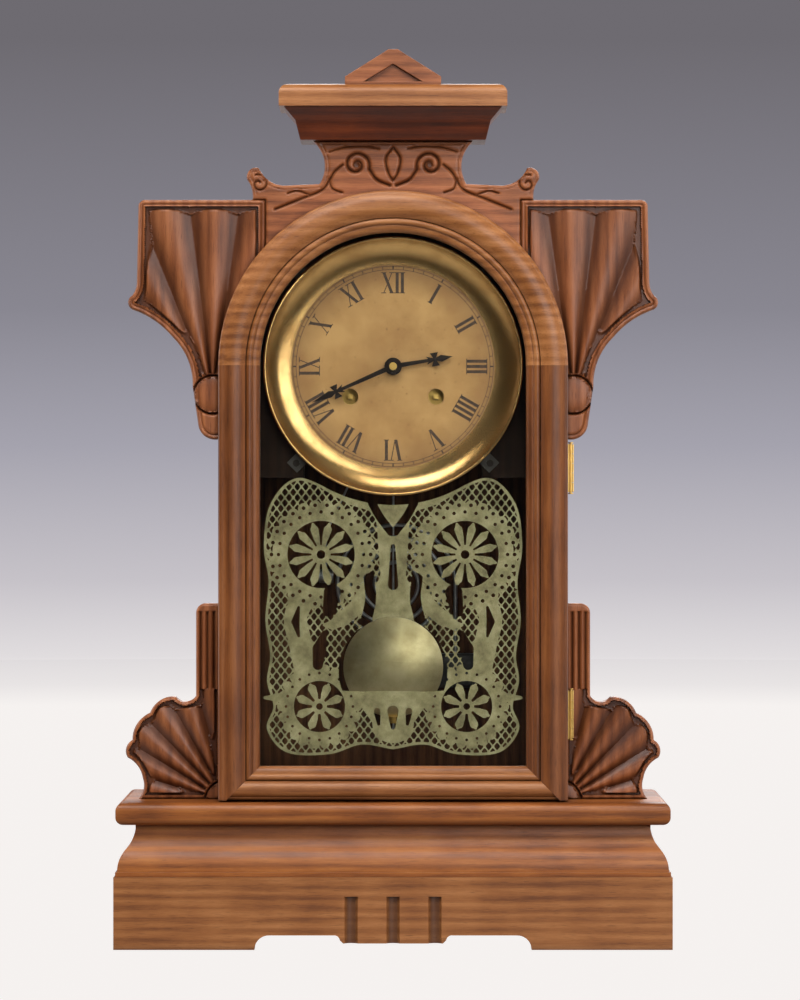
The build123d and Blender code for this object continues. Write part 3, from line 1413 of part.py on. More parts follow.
with BuildPart() as rating_nut:
    with BuildSketch(Plane.XY.offset(BOB_Z - BOB_R - NUT_THICK)):
        with Locations((0, PENDULUM_Y)):
            Circle(NUT_R)
            Circle(ROD_R, mode=Mode.SUBTRACT)
    extrude(amount=NUT_THICK)
rating_nut.part.label = "rating_nut"
export_step(rating_nut.part, "parts/rating_nut.step")

# Strike train: great wheel, pin wheel, stop wheel, fly and count wheel
with BuildPart() as strike_great_wheel:
    great_wheel(STRIKE_GREAT)
strike_great_wheel.part.label = "strike_great_wheel"
export_step(strike_great_wheel.part, "parts/strike_great_wheel.step")

PIN_CIRCLE_R = 10.0
TRAIN_PIN_R = 0.45
STOP_PIN_OUT = 9.5
with BuildPart() as pin_wheel:
    pivoted(PIN_WHEEL)
    pinion(GREAT_PINION, GREAT_MODULE, PIN_PINION_TURN, PIN_WHEEL, GREAT_Y + 0.5, 2.4)
    slab(
        tooth_points(PIN_WHEEL_TEETH, FINE_MODULE, PIN_TURN, TOOTH_SHARE, ADDENDUM, DEDENDUM),
        SECOND_Y,
        PIN_WHEEL,
        WHEEL_THICK,
    )
    with BuildSketch(face_at(SECOND_Y + 1.2, PIN_WHEEL)):
        with PolarLocations(PIN_CIRCLE_R, STRIKE_PINS):
            Circle(TRAIN_PIN_R)
    extrude(amount=1.3)
pin_wheel.part.label = "pin_wheel"
export_step(pin_wheel.part, "parts/pin_wheel.step")

with BuildPart() as stop_wheel:
    pivoted(STRIKE_THIRD)
    pinion(LEAVES, FINE_MODULE, STRIKE_THIRD_PINION_TURN, STRIKE_THIRD, SECOND_Y + 0.7)
    wheel(
        STRIKE_THIRD_TEETH,
        FINE_MODULE,
        STRIKE_THIRD_TURN,
        STRIKE_THIRD,
        STRIKE_THIRD_Y,
        WHEEL_THICK,
    )
    stop_pin = (STRIKE_THIRD[0] + STOP_PIN_OUT, STRIKE_THIRD[1])
    bar(stop_pin, STRIKE_THIRD_Y - 0.5, STRIKE_THIRD_Y + 2.0, TRAIN_PIN_R)
stop_wheel.part.label = "stop_wheel"
export_step(stop_wheel.part, "parts/stop_wheel.step")

FLY_SIZE = (18.0, 7.0, 0.5)
FLY_FRONT = 9.5
with BuildPart() as fly:
    pivoted(FLY)
    pinion(LEAVES, FINE_MODULE, FLY_PINION_TURN, FLY, STRIKE_THIRD_Y + 0.7)
    with Locations((FLY[0], FLY_FRONT, DIAL_Z + FLY[1])):
        Box(*FLY_SIZE, align=(Align.CENTER, Align.MIN, Align.CENTER))
fly.part.label = "fly"
export_step(fly.part, "parts/fly.step")

COUNT_R = 15.2
COUNT_ROOT_R = 12.6
COUNT_BLOWS = 78
NOTCH_SHARE = 1.2
with BuildPart() as count_wheel:
    bar(STRIKE_GREAT, CENTRE_Y - WHEEL_THICK, CENTRE_Y, COUNT_R)
    blows = 0
    for hour in range(1, 13):
        middle = 360 * blows / COUNT_BLOWS
        notch = [
            polar(COUNT_ROOT_R, middle - NOTCH_SHARE),
            polar(COUNT_R + 1, middle - NOTCH_SHARE),
            polar(COUNT_R + 1, middle + NOTCH_SHARE),
            polar(COUNT_ROOT_R, middle + NOTCH_SHARE),
        ]
        with BuildSketch(face_at(CENTRE_Y, STRIKE_GREAT)):
            with BuildLine():
                Polyline(*notch, close=True)
            make_face()
        extrude(amount=WHEEL_THICK, mode=Mode.SUBTRACT)
        blows += hour
    bar(STRIKE_GREAT, -12, -8, WINDING_ARBOR_R + PIVOT_CLEAR, mode=Mode.SUBTRACT)
count_wheel.part.label = "count_wheel"
export_step(count_wheel.part, "parts/count_wheel.step")

# Gong: round steel wire coiled flat, its tail let into an iron block on the backboard
GONG_Y = 42.5
GONG_Z = 225.0
GONG_WIRE_R = 1.25
GONG_IN = 8.0
GONG_PITCH = 8.0
GONG_HALF_TURNS = 8
GONG_TAIL = 45.0
with BuildPart() as gong_coil:
    crossings = spiral(GONG_IN, GONG_PITCH / 2, GONG_HALF_TURNS)
    with BuildLine(front(GONG_Y, 0, GONG_Z)) as gong_path:
        half_circles(crossings, 0)
        Line(crossings[-1], (crossings[-1][0], -GONG_TAIL))
    with BuildSketch(Plane(origin=gong_path.line @ 1, z_dir=gong_path.line % 1)):
        Circle(GONG_WIRE_R)
    sweep(path=gong_path.line)
gong_coil.part.label = "gong_coil"
export_step(gong_coil.part, "parts/gong_coil.step")
gong_length = sum(edge.length for edge in gong_path.edges())
print("gong wire", round(gong_length, 1), "mm, least gap to itself", GONG_PITCH - 2 * GONG_WIRE_R)

GONG_BLOCK_X = crossings[-1][0]
GONG_BLOCK = (26.0, 14.0, 22.0)
GONG_BLOCK_EDGE = 2.0
with BuildPart() as gong_block:
    with Locations((GONG_BLOCK_X, CASE_BACK, GONG_Z - GONG_TAIL)):
        Box(*GONG_BLOCK, align=(Align.CENTER, Align.MAX, Align.MAX))
    chamfer(gong_block.faces().sort_by(Axis.Y)[0].edges(), length=GONG_BLOCK_EDGE)
gong_block.part.label = "gong_block"
export_step(gong_block.part, "parts/gong_block.step")

# Hammer: arbor, lifting tail, bent wire and round head beside the gong
HEAD_X = -GONG_IN - GONG_PITCH / 2 * (GONG_HALF_TURNS - 1) - GONG_WIRE_R - 1.6
HEAD_LENGTH = 9.0
HEAD_R = 4.5
HEAD_Z = 230.0
WIRE_R = 0.7
WIRE_Y = 14.9
WIRE_TURN_Z = 298.0
WIRE_BACK_Z = 258.0
WIRE_BEND = 8.0
TAIL_Y = -5.2
TAIL_R = 0.4
with BuildPart() as hammer:
    pivoted(HAMMER)
    pivot_z = DIAL_Z + HAMMER[1]
    with BuildLine() as hammer_wire:
        FilletPolyline(
            (HAMMER[0], WIRE_Y, pivot_z),
            (HAMMER[0] - 4, WIRE_Y, WIRE_TURN_Z),
            (HEAD_X - HEAD_LENGTH / 2, GONG_Y - 4, WIRE_BACK_Z),
            (HEAD_X - HEAD_LENGTH / 2, GONG_Y, HEAD_Z),
            radius=WIRE_BEND,
        )
    with BuildSketch(Plane(origin=hammer_wire.line @ 0, z_dir=hammer_wire.line % 0)):
        Circle(WIRE_R)
    sweep(path=hammer_wire.line)
    with BuildSketch(Plane.YZ.offset(HEAD_X)):
        with Locations((GONG_Y, HEAD_Z)):
            Circle(HEAD_R)
    extrude(amount=-HEAD_LENGTH)
    tail_tip = (PIN_WHEEL[0] + PIN_CIRCLE_R + 1.4, PIN_WHEEL[1] - 1)
    with BuildLine() as hammer_tail:
        Line((HAMMER[0], TAIL_Y, pivot_z), (tail_tip[0], TAIL_Y, DIAL_Z + tail_tip[1]))
    with BuildSketch(Plane(origin=hammer_tail.line @ 0, z_dir=hammer_tail.line % 0)):
        Circle(TAIL_R)
    sweep(path=hammer_tail.line)
hammer.part.label = "hammer"
export_step(hammer.part, "parts/hammer.step")
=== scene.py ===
import json
import math

import bmesh
import bpy
import numpy as np
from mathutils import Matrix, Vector
from mathutils.geometry import delaunay_2d_cdt

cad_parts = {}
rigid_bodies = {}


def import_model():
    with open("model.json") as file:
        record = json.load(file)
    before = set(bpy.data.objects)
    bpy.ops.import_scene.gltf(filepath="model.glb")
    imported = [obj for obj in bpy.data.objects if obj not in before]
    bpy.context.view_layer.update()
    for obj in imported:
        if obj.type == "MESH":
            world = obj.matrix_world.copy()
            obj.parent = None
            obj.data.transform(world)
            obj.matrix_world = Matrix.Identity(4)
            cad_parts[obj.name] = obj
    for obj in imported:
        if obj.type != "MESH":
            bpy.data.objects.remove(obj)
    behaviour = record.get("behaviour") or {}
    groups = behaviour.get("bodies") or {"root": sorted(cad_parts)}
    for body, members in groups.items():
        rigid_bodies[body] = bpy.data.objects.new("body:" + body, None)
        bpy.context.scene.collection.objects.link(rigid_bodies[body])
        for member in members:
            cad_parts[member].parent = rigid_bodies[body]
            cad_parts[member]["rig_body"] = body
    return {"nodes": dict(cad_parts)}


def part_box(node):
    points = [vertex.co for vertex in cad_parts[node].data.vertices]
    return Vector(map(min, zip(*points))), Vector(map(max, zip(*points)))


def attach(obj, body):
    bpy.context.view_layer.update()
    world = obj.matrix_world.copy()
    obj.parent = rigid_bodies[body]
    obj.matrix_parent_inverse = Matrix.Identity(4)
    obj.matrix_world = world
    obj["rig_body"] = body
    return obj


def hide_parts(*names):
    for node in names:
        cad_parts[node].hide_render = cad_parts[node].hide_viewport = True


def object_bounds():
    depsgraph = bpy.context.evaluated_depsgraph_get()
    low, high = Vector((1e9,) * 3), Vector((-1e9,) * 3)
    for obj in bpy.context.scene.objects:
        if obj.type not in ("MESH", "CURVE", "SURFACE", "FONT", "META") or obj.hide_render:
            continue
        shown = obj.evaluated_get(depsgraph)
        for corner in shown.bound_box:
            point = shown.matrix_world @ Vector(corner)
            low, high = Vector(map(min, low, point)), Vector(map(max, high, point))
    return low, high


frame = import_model()
cad_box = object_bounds()
nodes = frame["nodes"]

MM = 0.001

# Places read from the frame, in millimetres
paper_low, paper_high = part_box("dial_paper")
DIAL_Z = (paper_low.z + paper_high.z) / 2 / MM
PAPER_FRONT = paper_low.y / MM
PAPER_R = (paper_high.x - paper_low.x) / 2 / MM
glass_low, glass_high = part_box("door_glass")
GLASS_BACK = glass_high.y / MM
bob_low, bob_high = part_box("pendulum_bob")
BOB_Z = (bob_low.z + bob_high.z) / 2 / MM
BOB_R = bob_high.x / MM
BASE_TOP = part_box("base_top_board")[1].z / MM
BLOCK_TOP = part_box("lower_brackets")[1].z / MM
CASE_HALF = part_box("case_sides")[1].x / MM


# Node helpers
def new_material(name):
    """A material with its node tree and its Principled shader."""
    material = bpy.data.materials.new(name)
    material.use_nodes = True
    return material, material.node_tree, material.node_tree.nodes["Principled BSDF"]


def add(tree, kind, inputs=None, **settings):
    """A node of that kind; inputs are sockets to link from, or values."""
    node = tree.nodes.new(kind)
    for key, value in settings.items():
        setattr(node, key, value)
    for socket, value in (inputs or {}).items():
        if isinstance(value, bpy.types.NodeSocket):
            tree.links.new(value, node.inputs[socket])
        else:
            node.inputs[socket].default_value = value
    return node


def srgb(red, green, blue):
    """A colour given as it shows on screen, 0 to 255, as Blender's linear values."""
    def linear(value):
        value = value / 255
        return value / 12.92 if value <= 0.04045 else ((value + 0.055) / 1.055) ** 2.4

    return (linear(red), linear(green), linear(blue), 1.0)


def ramp(tree, factor, stops):
    """Colour ramp through (position, colour) stops."""
    node = add(tree, "ShaderNodeValToRGB", {"Fac": factor})
    band = node.color_ramp
    while len(band.elements) < len(stops):
        band.elements.new(0.5)
    for element, (position, colour) in zip(band.elements, stops):
        element.position = position
        element.color = colour
    return node.outputs["Color"]


def grey(value):
    return (value, value, value, 1.0)


def math_node(tree, operation, first, second):
    return add(tree, "ShaderNodeMath", {0: first, 1: second}, operation=operation).outputs[0]


def mix_colour(tree, factor, first, second, blend="MIX"):
    node = add(tree, "ShaderNodeMix", data_type="RGBA", blend_type=blend)
    for socket, value in ((0, factor), (6, first), (7, second)):
        if isinstance(value, bpy.types.NodeSocket):
            tree.links.new(value, node.inputs[socket])
        else:
            node.inputs[socket].default_value = value
    return node.outputs[2]


def millimetres(tree, scale=(1, 1, 1), shift=(0, 0, 0)):
    """Object coordinates in millimetres, each axis stretched by its scale."""
    place = add(tree, "ShaderNodeTexCoord").outputs["Object"]
    mapping = add(tree, "ShaderNodeMapping", {"Vector": place})
    mapping.inputs["Scale"].default_value = [part / MM for part in scale]
    mapping.inputs["Location"].default_value = shift
    return mapping.outputs["Vector"]


def noise(tree, vector, scale, detail=3.0, roughness=0.5):
    settings = {"Vector": vector, "Scale": scale, "Detail": detail, "Roughness": roughness}
    return add(tree, "ShaderNodeTexNoise", settings).outputs["Fac"]


def spread(tree, value, low, high):
    """A value from 0 to 1 mapped on to the range low to high."""
    return add(
        tree, "ShaderNodeMapRange", {"Value": value, "To Min": low, "To Max": high}
    ).outputs["Result"]


def roughen(tree, shader, height, strength, distance):
    """Fine relief on a shader; distance is in millimetres."""
    bump = add(
        tree, "ShaderNodeBump", {"Height": height, "Strength": strength, "Distance": distance * MM}
    )
    tree.links.new(bump.outputs["Normal"], shader.inputs["Normal"])


def painted_hollow_shade(tree, distance, least):
    """Painted shade from ambient occlusion: 1 in the open, falling to least in corners and grooves."""
    open_part = add(
        tree, "ShaderNodeAmbientOcclusion", {"Distance": distance * MM}, samples=8
    ).outputs["AO"]
    return ramp(tree, open_part, [(0.25, grey(least)), (0.85, grey(1.0))])


# Varnished hardwood, with the grain along one axis
ALONG = {"X": (0.05, 1, 1), "Y": (1, 0.05, 1), "Z": (1, 1, 0.05)}
ACROSS = {"X": "Z", "Y": "Z", "Z": "X"}
PLANK_SHIFT = 37.0
BAND_SHARE = 0.16
STREAK_SHARE = 0.52
FIBRE_SHARE = 0.32
CLOUD_SHARE = 0.5
PORE_DARK = 0.45
CUT_DARK = 0.8
CORNER_REACH = 7.0
CORNER_LEAST = 0.35
DEEP_TONE = (0.35, 0.3, 0.28)
COAT_ROUGH = 0.22
planks = []


def wood(name, along, light, middle, dark, coat=0.1, rough=0.4, gleam=0.35):
    """Hardwood: growth bands, fibres and pores along the grain, with painted shade in carved cuts and in
    corners and grooves.
    """
    material, tree, shader = new_material(name)
    planks.append(name)
    shift = [PLANK_SHIFT * len(planks) * part for part in (1.0, 0.37, 0.61)]
    grain = millimetres(tree, ALONG[along], shift)
    plain = millimetres(tree, shift=shift)
    bands = add(
        tree,
        "ShaderNodeTexWave",
        {
            "Vector": grain,
            "Scale": 0.045,
            "Distortion": 5.0,
            "Detail": 3.0,
            "Detail Scale": 0.9,
            "Detail Roughness": 0.55,
        },
        wave_type="BANDS",
        bands_direction=ACROSS[along],
    ).outputs["Fac"]
    streaks = noise(tree, grain, 0.42, 7.0, 0.66)
    fibres = noise(tree, grain, 3.6, 5.0, 0.75)
    cloud = noise(tree, plain, 0.022, 2.0)
    figure = math_node(
        tree,
        "ADD",
        math_node(tree, "MULTIPLY", bands, BAND_SHARE),
        math_node(tree, "MULTIPLY", streaks, STREAK_SHARE),
    )
    figure = math_node(tree, "ADD", figure, math_node(tree, "MULTIPLY", fibres, FIBRE_SHARE))
    drift = math_node(tree, "SUBTRACT", cloud, 0.5)
    figure = math_node(tree, "ADD", figure, math_node(tree, "MULTIPLY", drift, CLOUD_SHARE))
    colour = ramp(tree, figure, [(0.3, dark), (0.5, middle), (0.7, light)])
    pores = ramp(
        tree, noise(tree, grain, 2.2, 2.0, 0.5), [(0.60, grey(0.0)), (0.72, grey(1.0))]
    )
    deep = (*(part * share for part, share in zip(dark, DEEP_TONE)), 1.0)
    colour = mix_colour(tree, math_node(tree, "MULTIPLY", pores, PORE_DARK), colour, deep)
    # Painted shade in carved cuts, darker where the cut is deeper
    cut = add(tree, "ShaderNodeAttribute", attribute_name="cut").outputs["Fac"]
    colour = mix_colour(tree, math_node(tree, "MULTIPLY", cut, CUT_DARK), colour, deep)
    # Painted shade in corners and grooves
    shade = painted_hollow_shade(tree, CORNER_REACH, CORNER_LEAST)
    colour = mix_colour(tree, 1.0, colour, shade, "MULTIPLY")
    tree.links.new(colour, shader.inputs["Base Color"])
    worn = noise(tree, plain, 0.12, 4.0, 0.6)
    tree.links.new(spread(tree, worn, rough - 0.08, rough + 0.16), shader.inputs["Roughness"])
    height = math_node(
        tree,
        "SUBTRACT",
        math_node(tree, "MULTIPLY", fibres, 0.5),
        math_node(tree, "MULTIPLY", pores, 0.5),
    )
    roughen(tree, shader, height, 0.35, 0.12)
    shader.inputs["Specular IOR Level"].default_value = gleam
    shader.inputs["Coat Weight"].default_value = coat
    shader.inputs["Coat Roughness"].default_value = COAT_ROUGH
    return material


def metal(name, colour, dull, rough, tint=0.35, scale=0.15, bump=0.05, metallic=1.0):
    """Metal with cloudy tarnish and fine handling marks."""
    material, tree, shader = new_material(name)
    place = millimetres(tree)
    cloud = noise(tree, place, scale, 5.0, 0.65)
    patch = ramp(tree, cloud, [(0.38, grey(0.0)), (0.68, grey(1.0))])
    tree.links.new(
        mix_colour(tree, math_node(tree, "MULTIPLY", patch, tint), colour, dull),
        shader.inputs["Base Color"],
    )
    tree.links.new(spread(tree, cloud, rough * 0.7, rough * 1.5), shader.inputs["Roughness"])
    roughen(tree, shader, noise(tree, place, 2.4, 3.0, 0.6), bump, 0.1)
    shader.inputs["Metallic"].default_value = metallic
    return material


RING_ANGLE_PER_MM = 14.0


def dial_distance(tree):
    """Distance from the dial's centre line, in millimetres."""
    place = add(tree, "ShaderNodeTexCoord").outputs["Object"]
    split = add(tree, "ShaderNodeSeparateXYZ", {"Vector": place})
    x = math_node(tree, "MULTIPLY", split.outputs["X"], 1 / MM)
    z = math_node(
        tree, "SUBTRACT", math_node(tree, "MULTIPLY", split.outputs["Z"], 1 / MM), DIAL_Z
    )
    square = math_node(
        tree, "ADD", math_node(tree, "MULTIPLY", x, x), math_node(tree, "MULTIPLY", z, z)
    )
    return math_node(tree, "SQRT", square, 0.0)


def spun_brass():
    """Polished brass with the fine rings that spinning leaves, and tarnish in patches."""
    material, tree, shader = new_material("spun_brass")
    place = millimetres(tree)
    cloud = noise(tree, place, 0.06, 5.0, 0.6)
    patch = ramp(tree, cloud, [(0.4, grey(0.0)), (0.7, grey(1.0))])
    bright, dull = srgb(198, 158, 104), srgb(142, 96, 54)
    tree.links.new(
        mix_colour(tree, math_node(tree, "MULTIPLY", patch, 0.5), bright, dull),
        shader.inputs["Base Color"],
    )
    radius = dial_distance(tree)
    rings = math_node(tree, "SINE", math_node(tree, "MULTIPLY", radius, RING_ANGLE_PER_MM), 0.0)
    specks = noise(tree, place, 1.4, 4.0, 0.6)
    height = math_node(tree, "ADD", math_node(tree, "MULTIPLY", rings, 0.25), specks)
    roughen(tree, shader, height, 0.08, 0.05)
    tree.links.new(spread(tree, cloud, 0.14, 0.32), shader.inputs["Roughness"])
    shader.inputs["Metallic"].default_value = 1.0
    return material


def aged_paper():
    """Cream paper, browner to the rim and round the middle, with foxing."""
    material, tree, shader = new_material("aged_paper")
    place = millimetres(tree)
    cloud = noise(tree, place, 0.035, 5.0, 0.6)
    cream, tan, brown = srgb(182, 138, 82), srgb(158, 114, 62), srgb(108, 68, 32)
    colour = ramp(tree, cloud, [(0.35, tan), (0.65, cream)])
    radius = dial_distance(tree)
    rim = ramp(
        tree,
        math_node(tree, "MULTIPLY", radius, 1 / PAPER_R),
        [(0.0, grey(0.45)), (0.16, grey(0.12)), (0.7, grey(0.0)), (1.0, grey(0.55))],
    )
    colour = mix_colour(tree, rim, colour, brown)
    spots = ramp(tree, noise(tree, place, 0.4, 3.0, 0.5), [(0.66, grey(0.0)), (0.74, grey(0.5))])
    colour = mix_colour(tree, spots, colour, brown)
    tree.links.new(colour, shader.inputs["Base Color"])
    roughen(tree, shader, noise(tree, place, 3.0, 4.0, 0.7), 0.15, 0.05)
    shader.inputs["Roughness"].default_value = 0.62
    return material


def printed_ink():
    """Black-brown printing ink, thinner in places."""
    material, tree, shader = new_material("printed_ink")
    cloud = noise(tree, millimetres(tree), 0.5, 4.0, 0.7)
    colour = ramp(tree, cloud, [(0.35, srgb(38, 22, 12)), (0.75, srgb(82, 52, 28))])
    tree.links.new(colour, shader.inputs["Base Color"])
    shader.inputs["Roughness"].default_value = 0.55
    return material


def silvered_print():
    """Silver-olive stencil paint, mottled, on the back of the glass."""
    material, tree, shader = new_material("silvered_print")
    place = millimetres(tree)
    cloud = noise(tree, place, 0.09, 5.0, 0.65)
    speck = noise(tree, place, 1.6, 3.0, 0.6)
    colour = ramp(
        tree, cloud, [(0.3, srgb(98, 88, 58)), (0.52, srgb(132, 122, 86)), (0.78, srgb(164, 154, 118))]
    )
    colour = mix_colour(
        tree,
        ramp(tree, speck, [(0.56, grey(0.0)), (0.72, grey(0.55))]),
        colour,
        srgb(70, 62, 38),
    )
    tree.links.new(colour, shader.inputs["Base Color"])
    roughen(tree, shader, speck, 0.2, 0.05)
    shader.inputs["Metallic"].default_value = 0.35
    shader.inputs["Roughness"].default_value = 0.42
    return material


def window_glass():
    """Old clear glass with a faint wave, which lets lamps light what is behind it."""
    material, tree, shader = new_material("window_glass")
    shader.inputs["Base Color"].default_value = srgb(244, 248, 244)
    shader.inputs["Transmission Weight"].default_value = 1.0
    shader.inputs["IOR"].default_value = 1.45
    shader.inputs["Roughness"].default_value = 0.0
    roughen(tree, shader, noise(tree, millimetres(tree), 0.02, 1.0), 0.04, 1.0)
    lamp = add(tree, "ShaderNodeLightPath").outputs["Is Shadow Ray"]
    clear = add(tree, "ShaderNodeBsdfTransparent", {"Color": srgb(246, 248, 246)})
    mixed = add(
        tree, "ShaderNodeMixShader", {0: lamp, 1: shader.outputs[0], 2: clear.outputs[0]}
    )
    tree.links.new(mixed.outputs[0], tree.nodes["Material Output"].inputs["Surface"])
    return material


# Wood colours; SHADED is a darker copy that paints the shade under the cornice cap on to the cornice
# moulding
GOLDEN = (srgb(190, 118, 56), srgb(162, 92, 38), srgb(116, 60, 20))
BROWN = (srgb(184, 114, 70), srgb(156, 90, 50), srgb(110, 58, 28))
SHADED = (srgb(122, 54, 18), srgb(94, 38, 10), srgb(62, 24, 6))
WARM = (srgb(154, 93, 48), srgb(126, 70, 31), srgb(86, 44, 16))
PALE = (srgb(190, 126, 74), srgb(162, 100, 52), srgb(118, 66, 30))
SOFTWOOD = (srgb(92, 58, 32), srgb(72, 44, 24), srgb(48, 28, 15))
# Near-black wood: painted shade for the parts inside the case behind the glass
INSIDE_SHADE = (srgb(34, 20, 11), srgb(26, 15, 8), srgb(17, 10, 6))

WOOD_OF = {
    "base_front_skirt": ("X", PALE),
    "base_side_skirts": ("Y", PALE),
    "base_front_moulding": ("X", GOLDEN),
    "base_side_mouldings": ("Y", GOLDEN),
    "base_top_board": ("X", GOLDEN),
    "case_sides": ("Z", WARM),
    "case_top_board": ("X", WARM),
    "front_frame": ("Z", WARM),
    "side_ears": ("Z", BROWN),
    "crest_board": ("X", BROWN),
    "cornice_moulding": ("X", SHADED),
    "cornice_cap": ("X", PALE),
    "pediment_gable": ("X", BROWN),
    "lower_brackets": ("Z", BROWN),
    "door_arch": ("X", PALE),
    "door_stiles": ("Z", WARM),
    "door_bottom_rail": ("X", PALE),
}
PLAIN_WOOD_OF = {
    "base_back_rail": "X",
    "glue_blocks": "Z",
    "case_back_board": "Z",
    "dial_support_strips": "Z",
    "movement_posts": "X",
    "glass_strips": "Z",
}
BEHIND_GLASS = ("dial_support_strips", "movement_posts", "glass_strips")


def cover(node_name, material):
    """Put one material on the whole of a CAD node."""
    nodes[node_name].data.materials.clear()
    nodes[node_name].data.materials.append(material)


for node_name, (grain_axis, colours) in WOOD_OF.items():
    cover(node_name, wood("wood_" + node_name, grain_axis, *colours))

RECESS_SHADE_FROM = 0.2
RECESS_SHADE_SHARE = 0.72
RECESS_SHADE_COLOUR = srgb(58, 30, 18)
FLUTES_HALF = 32.0
FLUTES_DEEP = 2.2


def paint_recess_shade(node_name, half_width, deep):
    """Painted shade: darken a board's wood where its front face is cut back near the middle."""
    material = nodes[node_name].data.materials[0]
    tree = material.node_tree
    socket = tree.nodes["Principled BSDF"].inputs["Base Color"]
    plain = socket.links[0].from_socket
    place = add(
        tree, "ShaderNodeSeparateXYZ", {"Vector": add(tree, "ShaderNodeTexCoord").outputs["Object"]}
    )
    front_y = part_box(node_name)[0].y
    reach = {"From Min": front_y + RECESS_SHADE_FROM * MM, "From Max": front_y + deep * MM}
    cut = add(tree, "ShaderNodeMapRange", {"Value": place.outputs["Y"], **reach}).outputs["Result"]
    away = math_node(tree, "ABSOLUTE", place.outputs["X"], 0.0)
    middle = math_node(tree, "LESS_THAN", away, half_width * MM)
    shade = math_node(tree, "MULTIPLY", math_node(tree, "MULTIPLY", cut, middle), RECESS_SHADE_SHARE)
    tree.links.new(mix_colour(tree, shade, plain, RECESS_SHADE_COLOUR), socket)


# Painted shade in the flutes of the skirt's middle pendant
paint_recess_shade("base_front_skirt", FLUTES_HALF, FLUTES_DEEP)
for node_name, grain_axis in PLAIN_WOOD_OF.items():
    # Parts behind the glass get the near-black wood, painted shade inside the case
    tone = INSIDE_SHADE if node_name in BEHIND_GLASS else SOFTWOOD
    cover(node_name, wood("wood_" + node_name, grain_axis, *tone, coat=0.0, rough=0.75, gleam=0.1))

# Metals and the other materials, by the slot names that the CAD nodes bring
BLUED = metal("blued_steel", srgb(40, 31, 28), srgb(22, 17, 16), 0.34, metallic=0.75)
MATERIAL_OF = {
    "movement_brass": metal("movement_brass", srgb(206, 168, 96), srgb(142, 104, 52), 0.3),
    "steel": metal("steel", srgb(150, 150, 152), srgb(96, 90, 84), 0.36),
    "blued_steel": BLUED,
    "cast_iron": metal(
        "cast_iron", srgb(46, 43, 42), srgb(28, 26, 25), 0.6, bump=0.4, metallic=0.4
    ),
    "zinc": metal("zinc", srgb(58, 54, 50), srgb(38, 35, 32), 0.6, metallic=0.5),
    "bob_brass": metal(
        "bob_brass", srgb(206, 190, 146), srgb(156, 136, 88), 0.3, tint=0.6, scale=0.08
    ),
    "bezel_brass": spun_brass(),
    "dial_paper": aged_paper(),
    "glass": window_glass(),
}
cover("dial_tacks", BLUED)
INK = printed_ink()
PRINT = silvered_print()

for node in nodes.values():
    for slot in node.material_slots:
        if slot.material and slot.material.name in MATERIAL_OF:
            slot.material = MATERIAL_OF[slot.material.name]


# Mesh helpers
def new_piece(name, mesh, body, material):
    """A finished mesh as a piece that rides on a body."""
    piece = bpy.data.objects.new(name, mesh)
    bpy.context.scene.collection.objects.link(piece)
    mesh.materials.append(material)
    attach(piece, body)
    return piece


FACING_FRONT = -0.99
FLAT_WITHIN = 0.01


def front_loops(node_name):
    """Closed outlines, as arrays of x and z, of the flat front of each board in a CAD node."""
    mesh = nodes[node_name].data
    front_y = min(vertex.co.y for vertex in mesh.vertices)
    key = {}
    count = {}
    for face in mesh.polygons:
        if face.normal.y > FACING_FRONT or abs(face.center.y - front_y) > FLAT_WITHIN * MM:
            continue
        ring = []
        for index in face.vertices:
            co = mesh.vertices[index].co
            spot = (round(co.x / MM, 3), round(co.z / MM, 3))
            ring.append(key.setdefault(spot, spot))
        for a, b in zip(ring, ring[1:] + ring[:1]):
            count[(a, b)] = count.get((a, b), 0) + 1
    after = {a: b for a, b in count if (b, a) not in count}
    loops = []
    while after:
        start, spot = after.popitem()
        loop = [start]
        while spot != start:
            loop.append(spot)
            spot = after.pop(spot)
        loops.append(np.array(loop))
    return loops


def spaced(loop, step):
    """A closed outline with points no more than step apart, corners kept."""
    points = []
    for a, b in zip(loop, np.roll(loop, -1, axis=0)):
        parts = max(1, int(math.ceil(np.hypot(*(b - a)) / step)))
        points.extend(a + (b - a) * part / parts for part in range(parts))
    return np.array(points)


def path_gap(points, path, half_widths=None):
    """Distance from each point to a run of straight pieces, less their half width there."""
    if half_widths is None:
        half_widths = [0.0] * len(path)
    best = np.full(len(points), np.inf)
    for (a, b), (u, v) in zip(zip(path[:-1], path[1:]), zip(half_widths[:-1], half_widths[1:])):
        a = np.asarray(a, float)
        run = np.asarray(b, float) - a
        along = np.clip((points - a) @ run / max(run @ run, 1e-9), 0, 1)
        gap = np.hypot(*(points - a - along[:, None] * run).T) - (u + (v - u) * along)
        best = np.minimum(best, gap)
    return best


def inside(points, loop):
    """True for each point inside a closed outline."""
    x, z = points.T
    result = np.zeros(len(points), bool)
    for a, b in zip(loop, np.roll(loop, -1, axis=0)):
        if a[1] == b[1]:
            continue
        crosses = (a[1] > z) != (b[1] > z)
        result ^= crosses & (x < (b[0] - a[0]) * (z - a[1]) / (b[1] - a[1]) + a[0])
    return result


OFF_HUB = 0.4
RAY_REACH = 120.0
HUB_PARTS = 90
SMOOTH_PARTS = 8


def fan_lines(centre, start, ray, rays, hub):
    """The valleys between the rays of a fan, and the circle round its hub."""
    lines = []
    for index in range(rays + 1):
        angle = math.radians(start + ray * index)
        c, s = math.cos(angle), math.sin(angle)
        lines.append(
            [(centre[0] + r * c, centre[1] + r * s) for r in (hub + OFF_HUB, hub + RAY_REACH)]
        )
    lines.append(curl(centre, hub, 0, 1, 1.0, HUB_PARTS))
    return lines


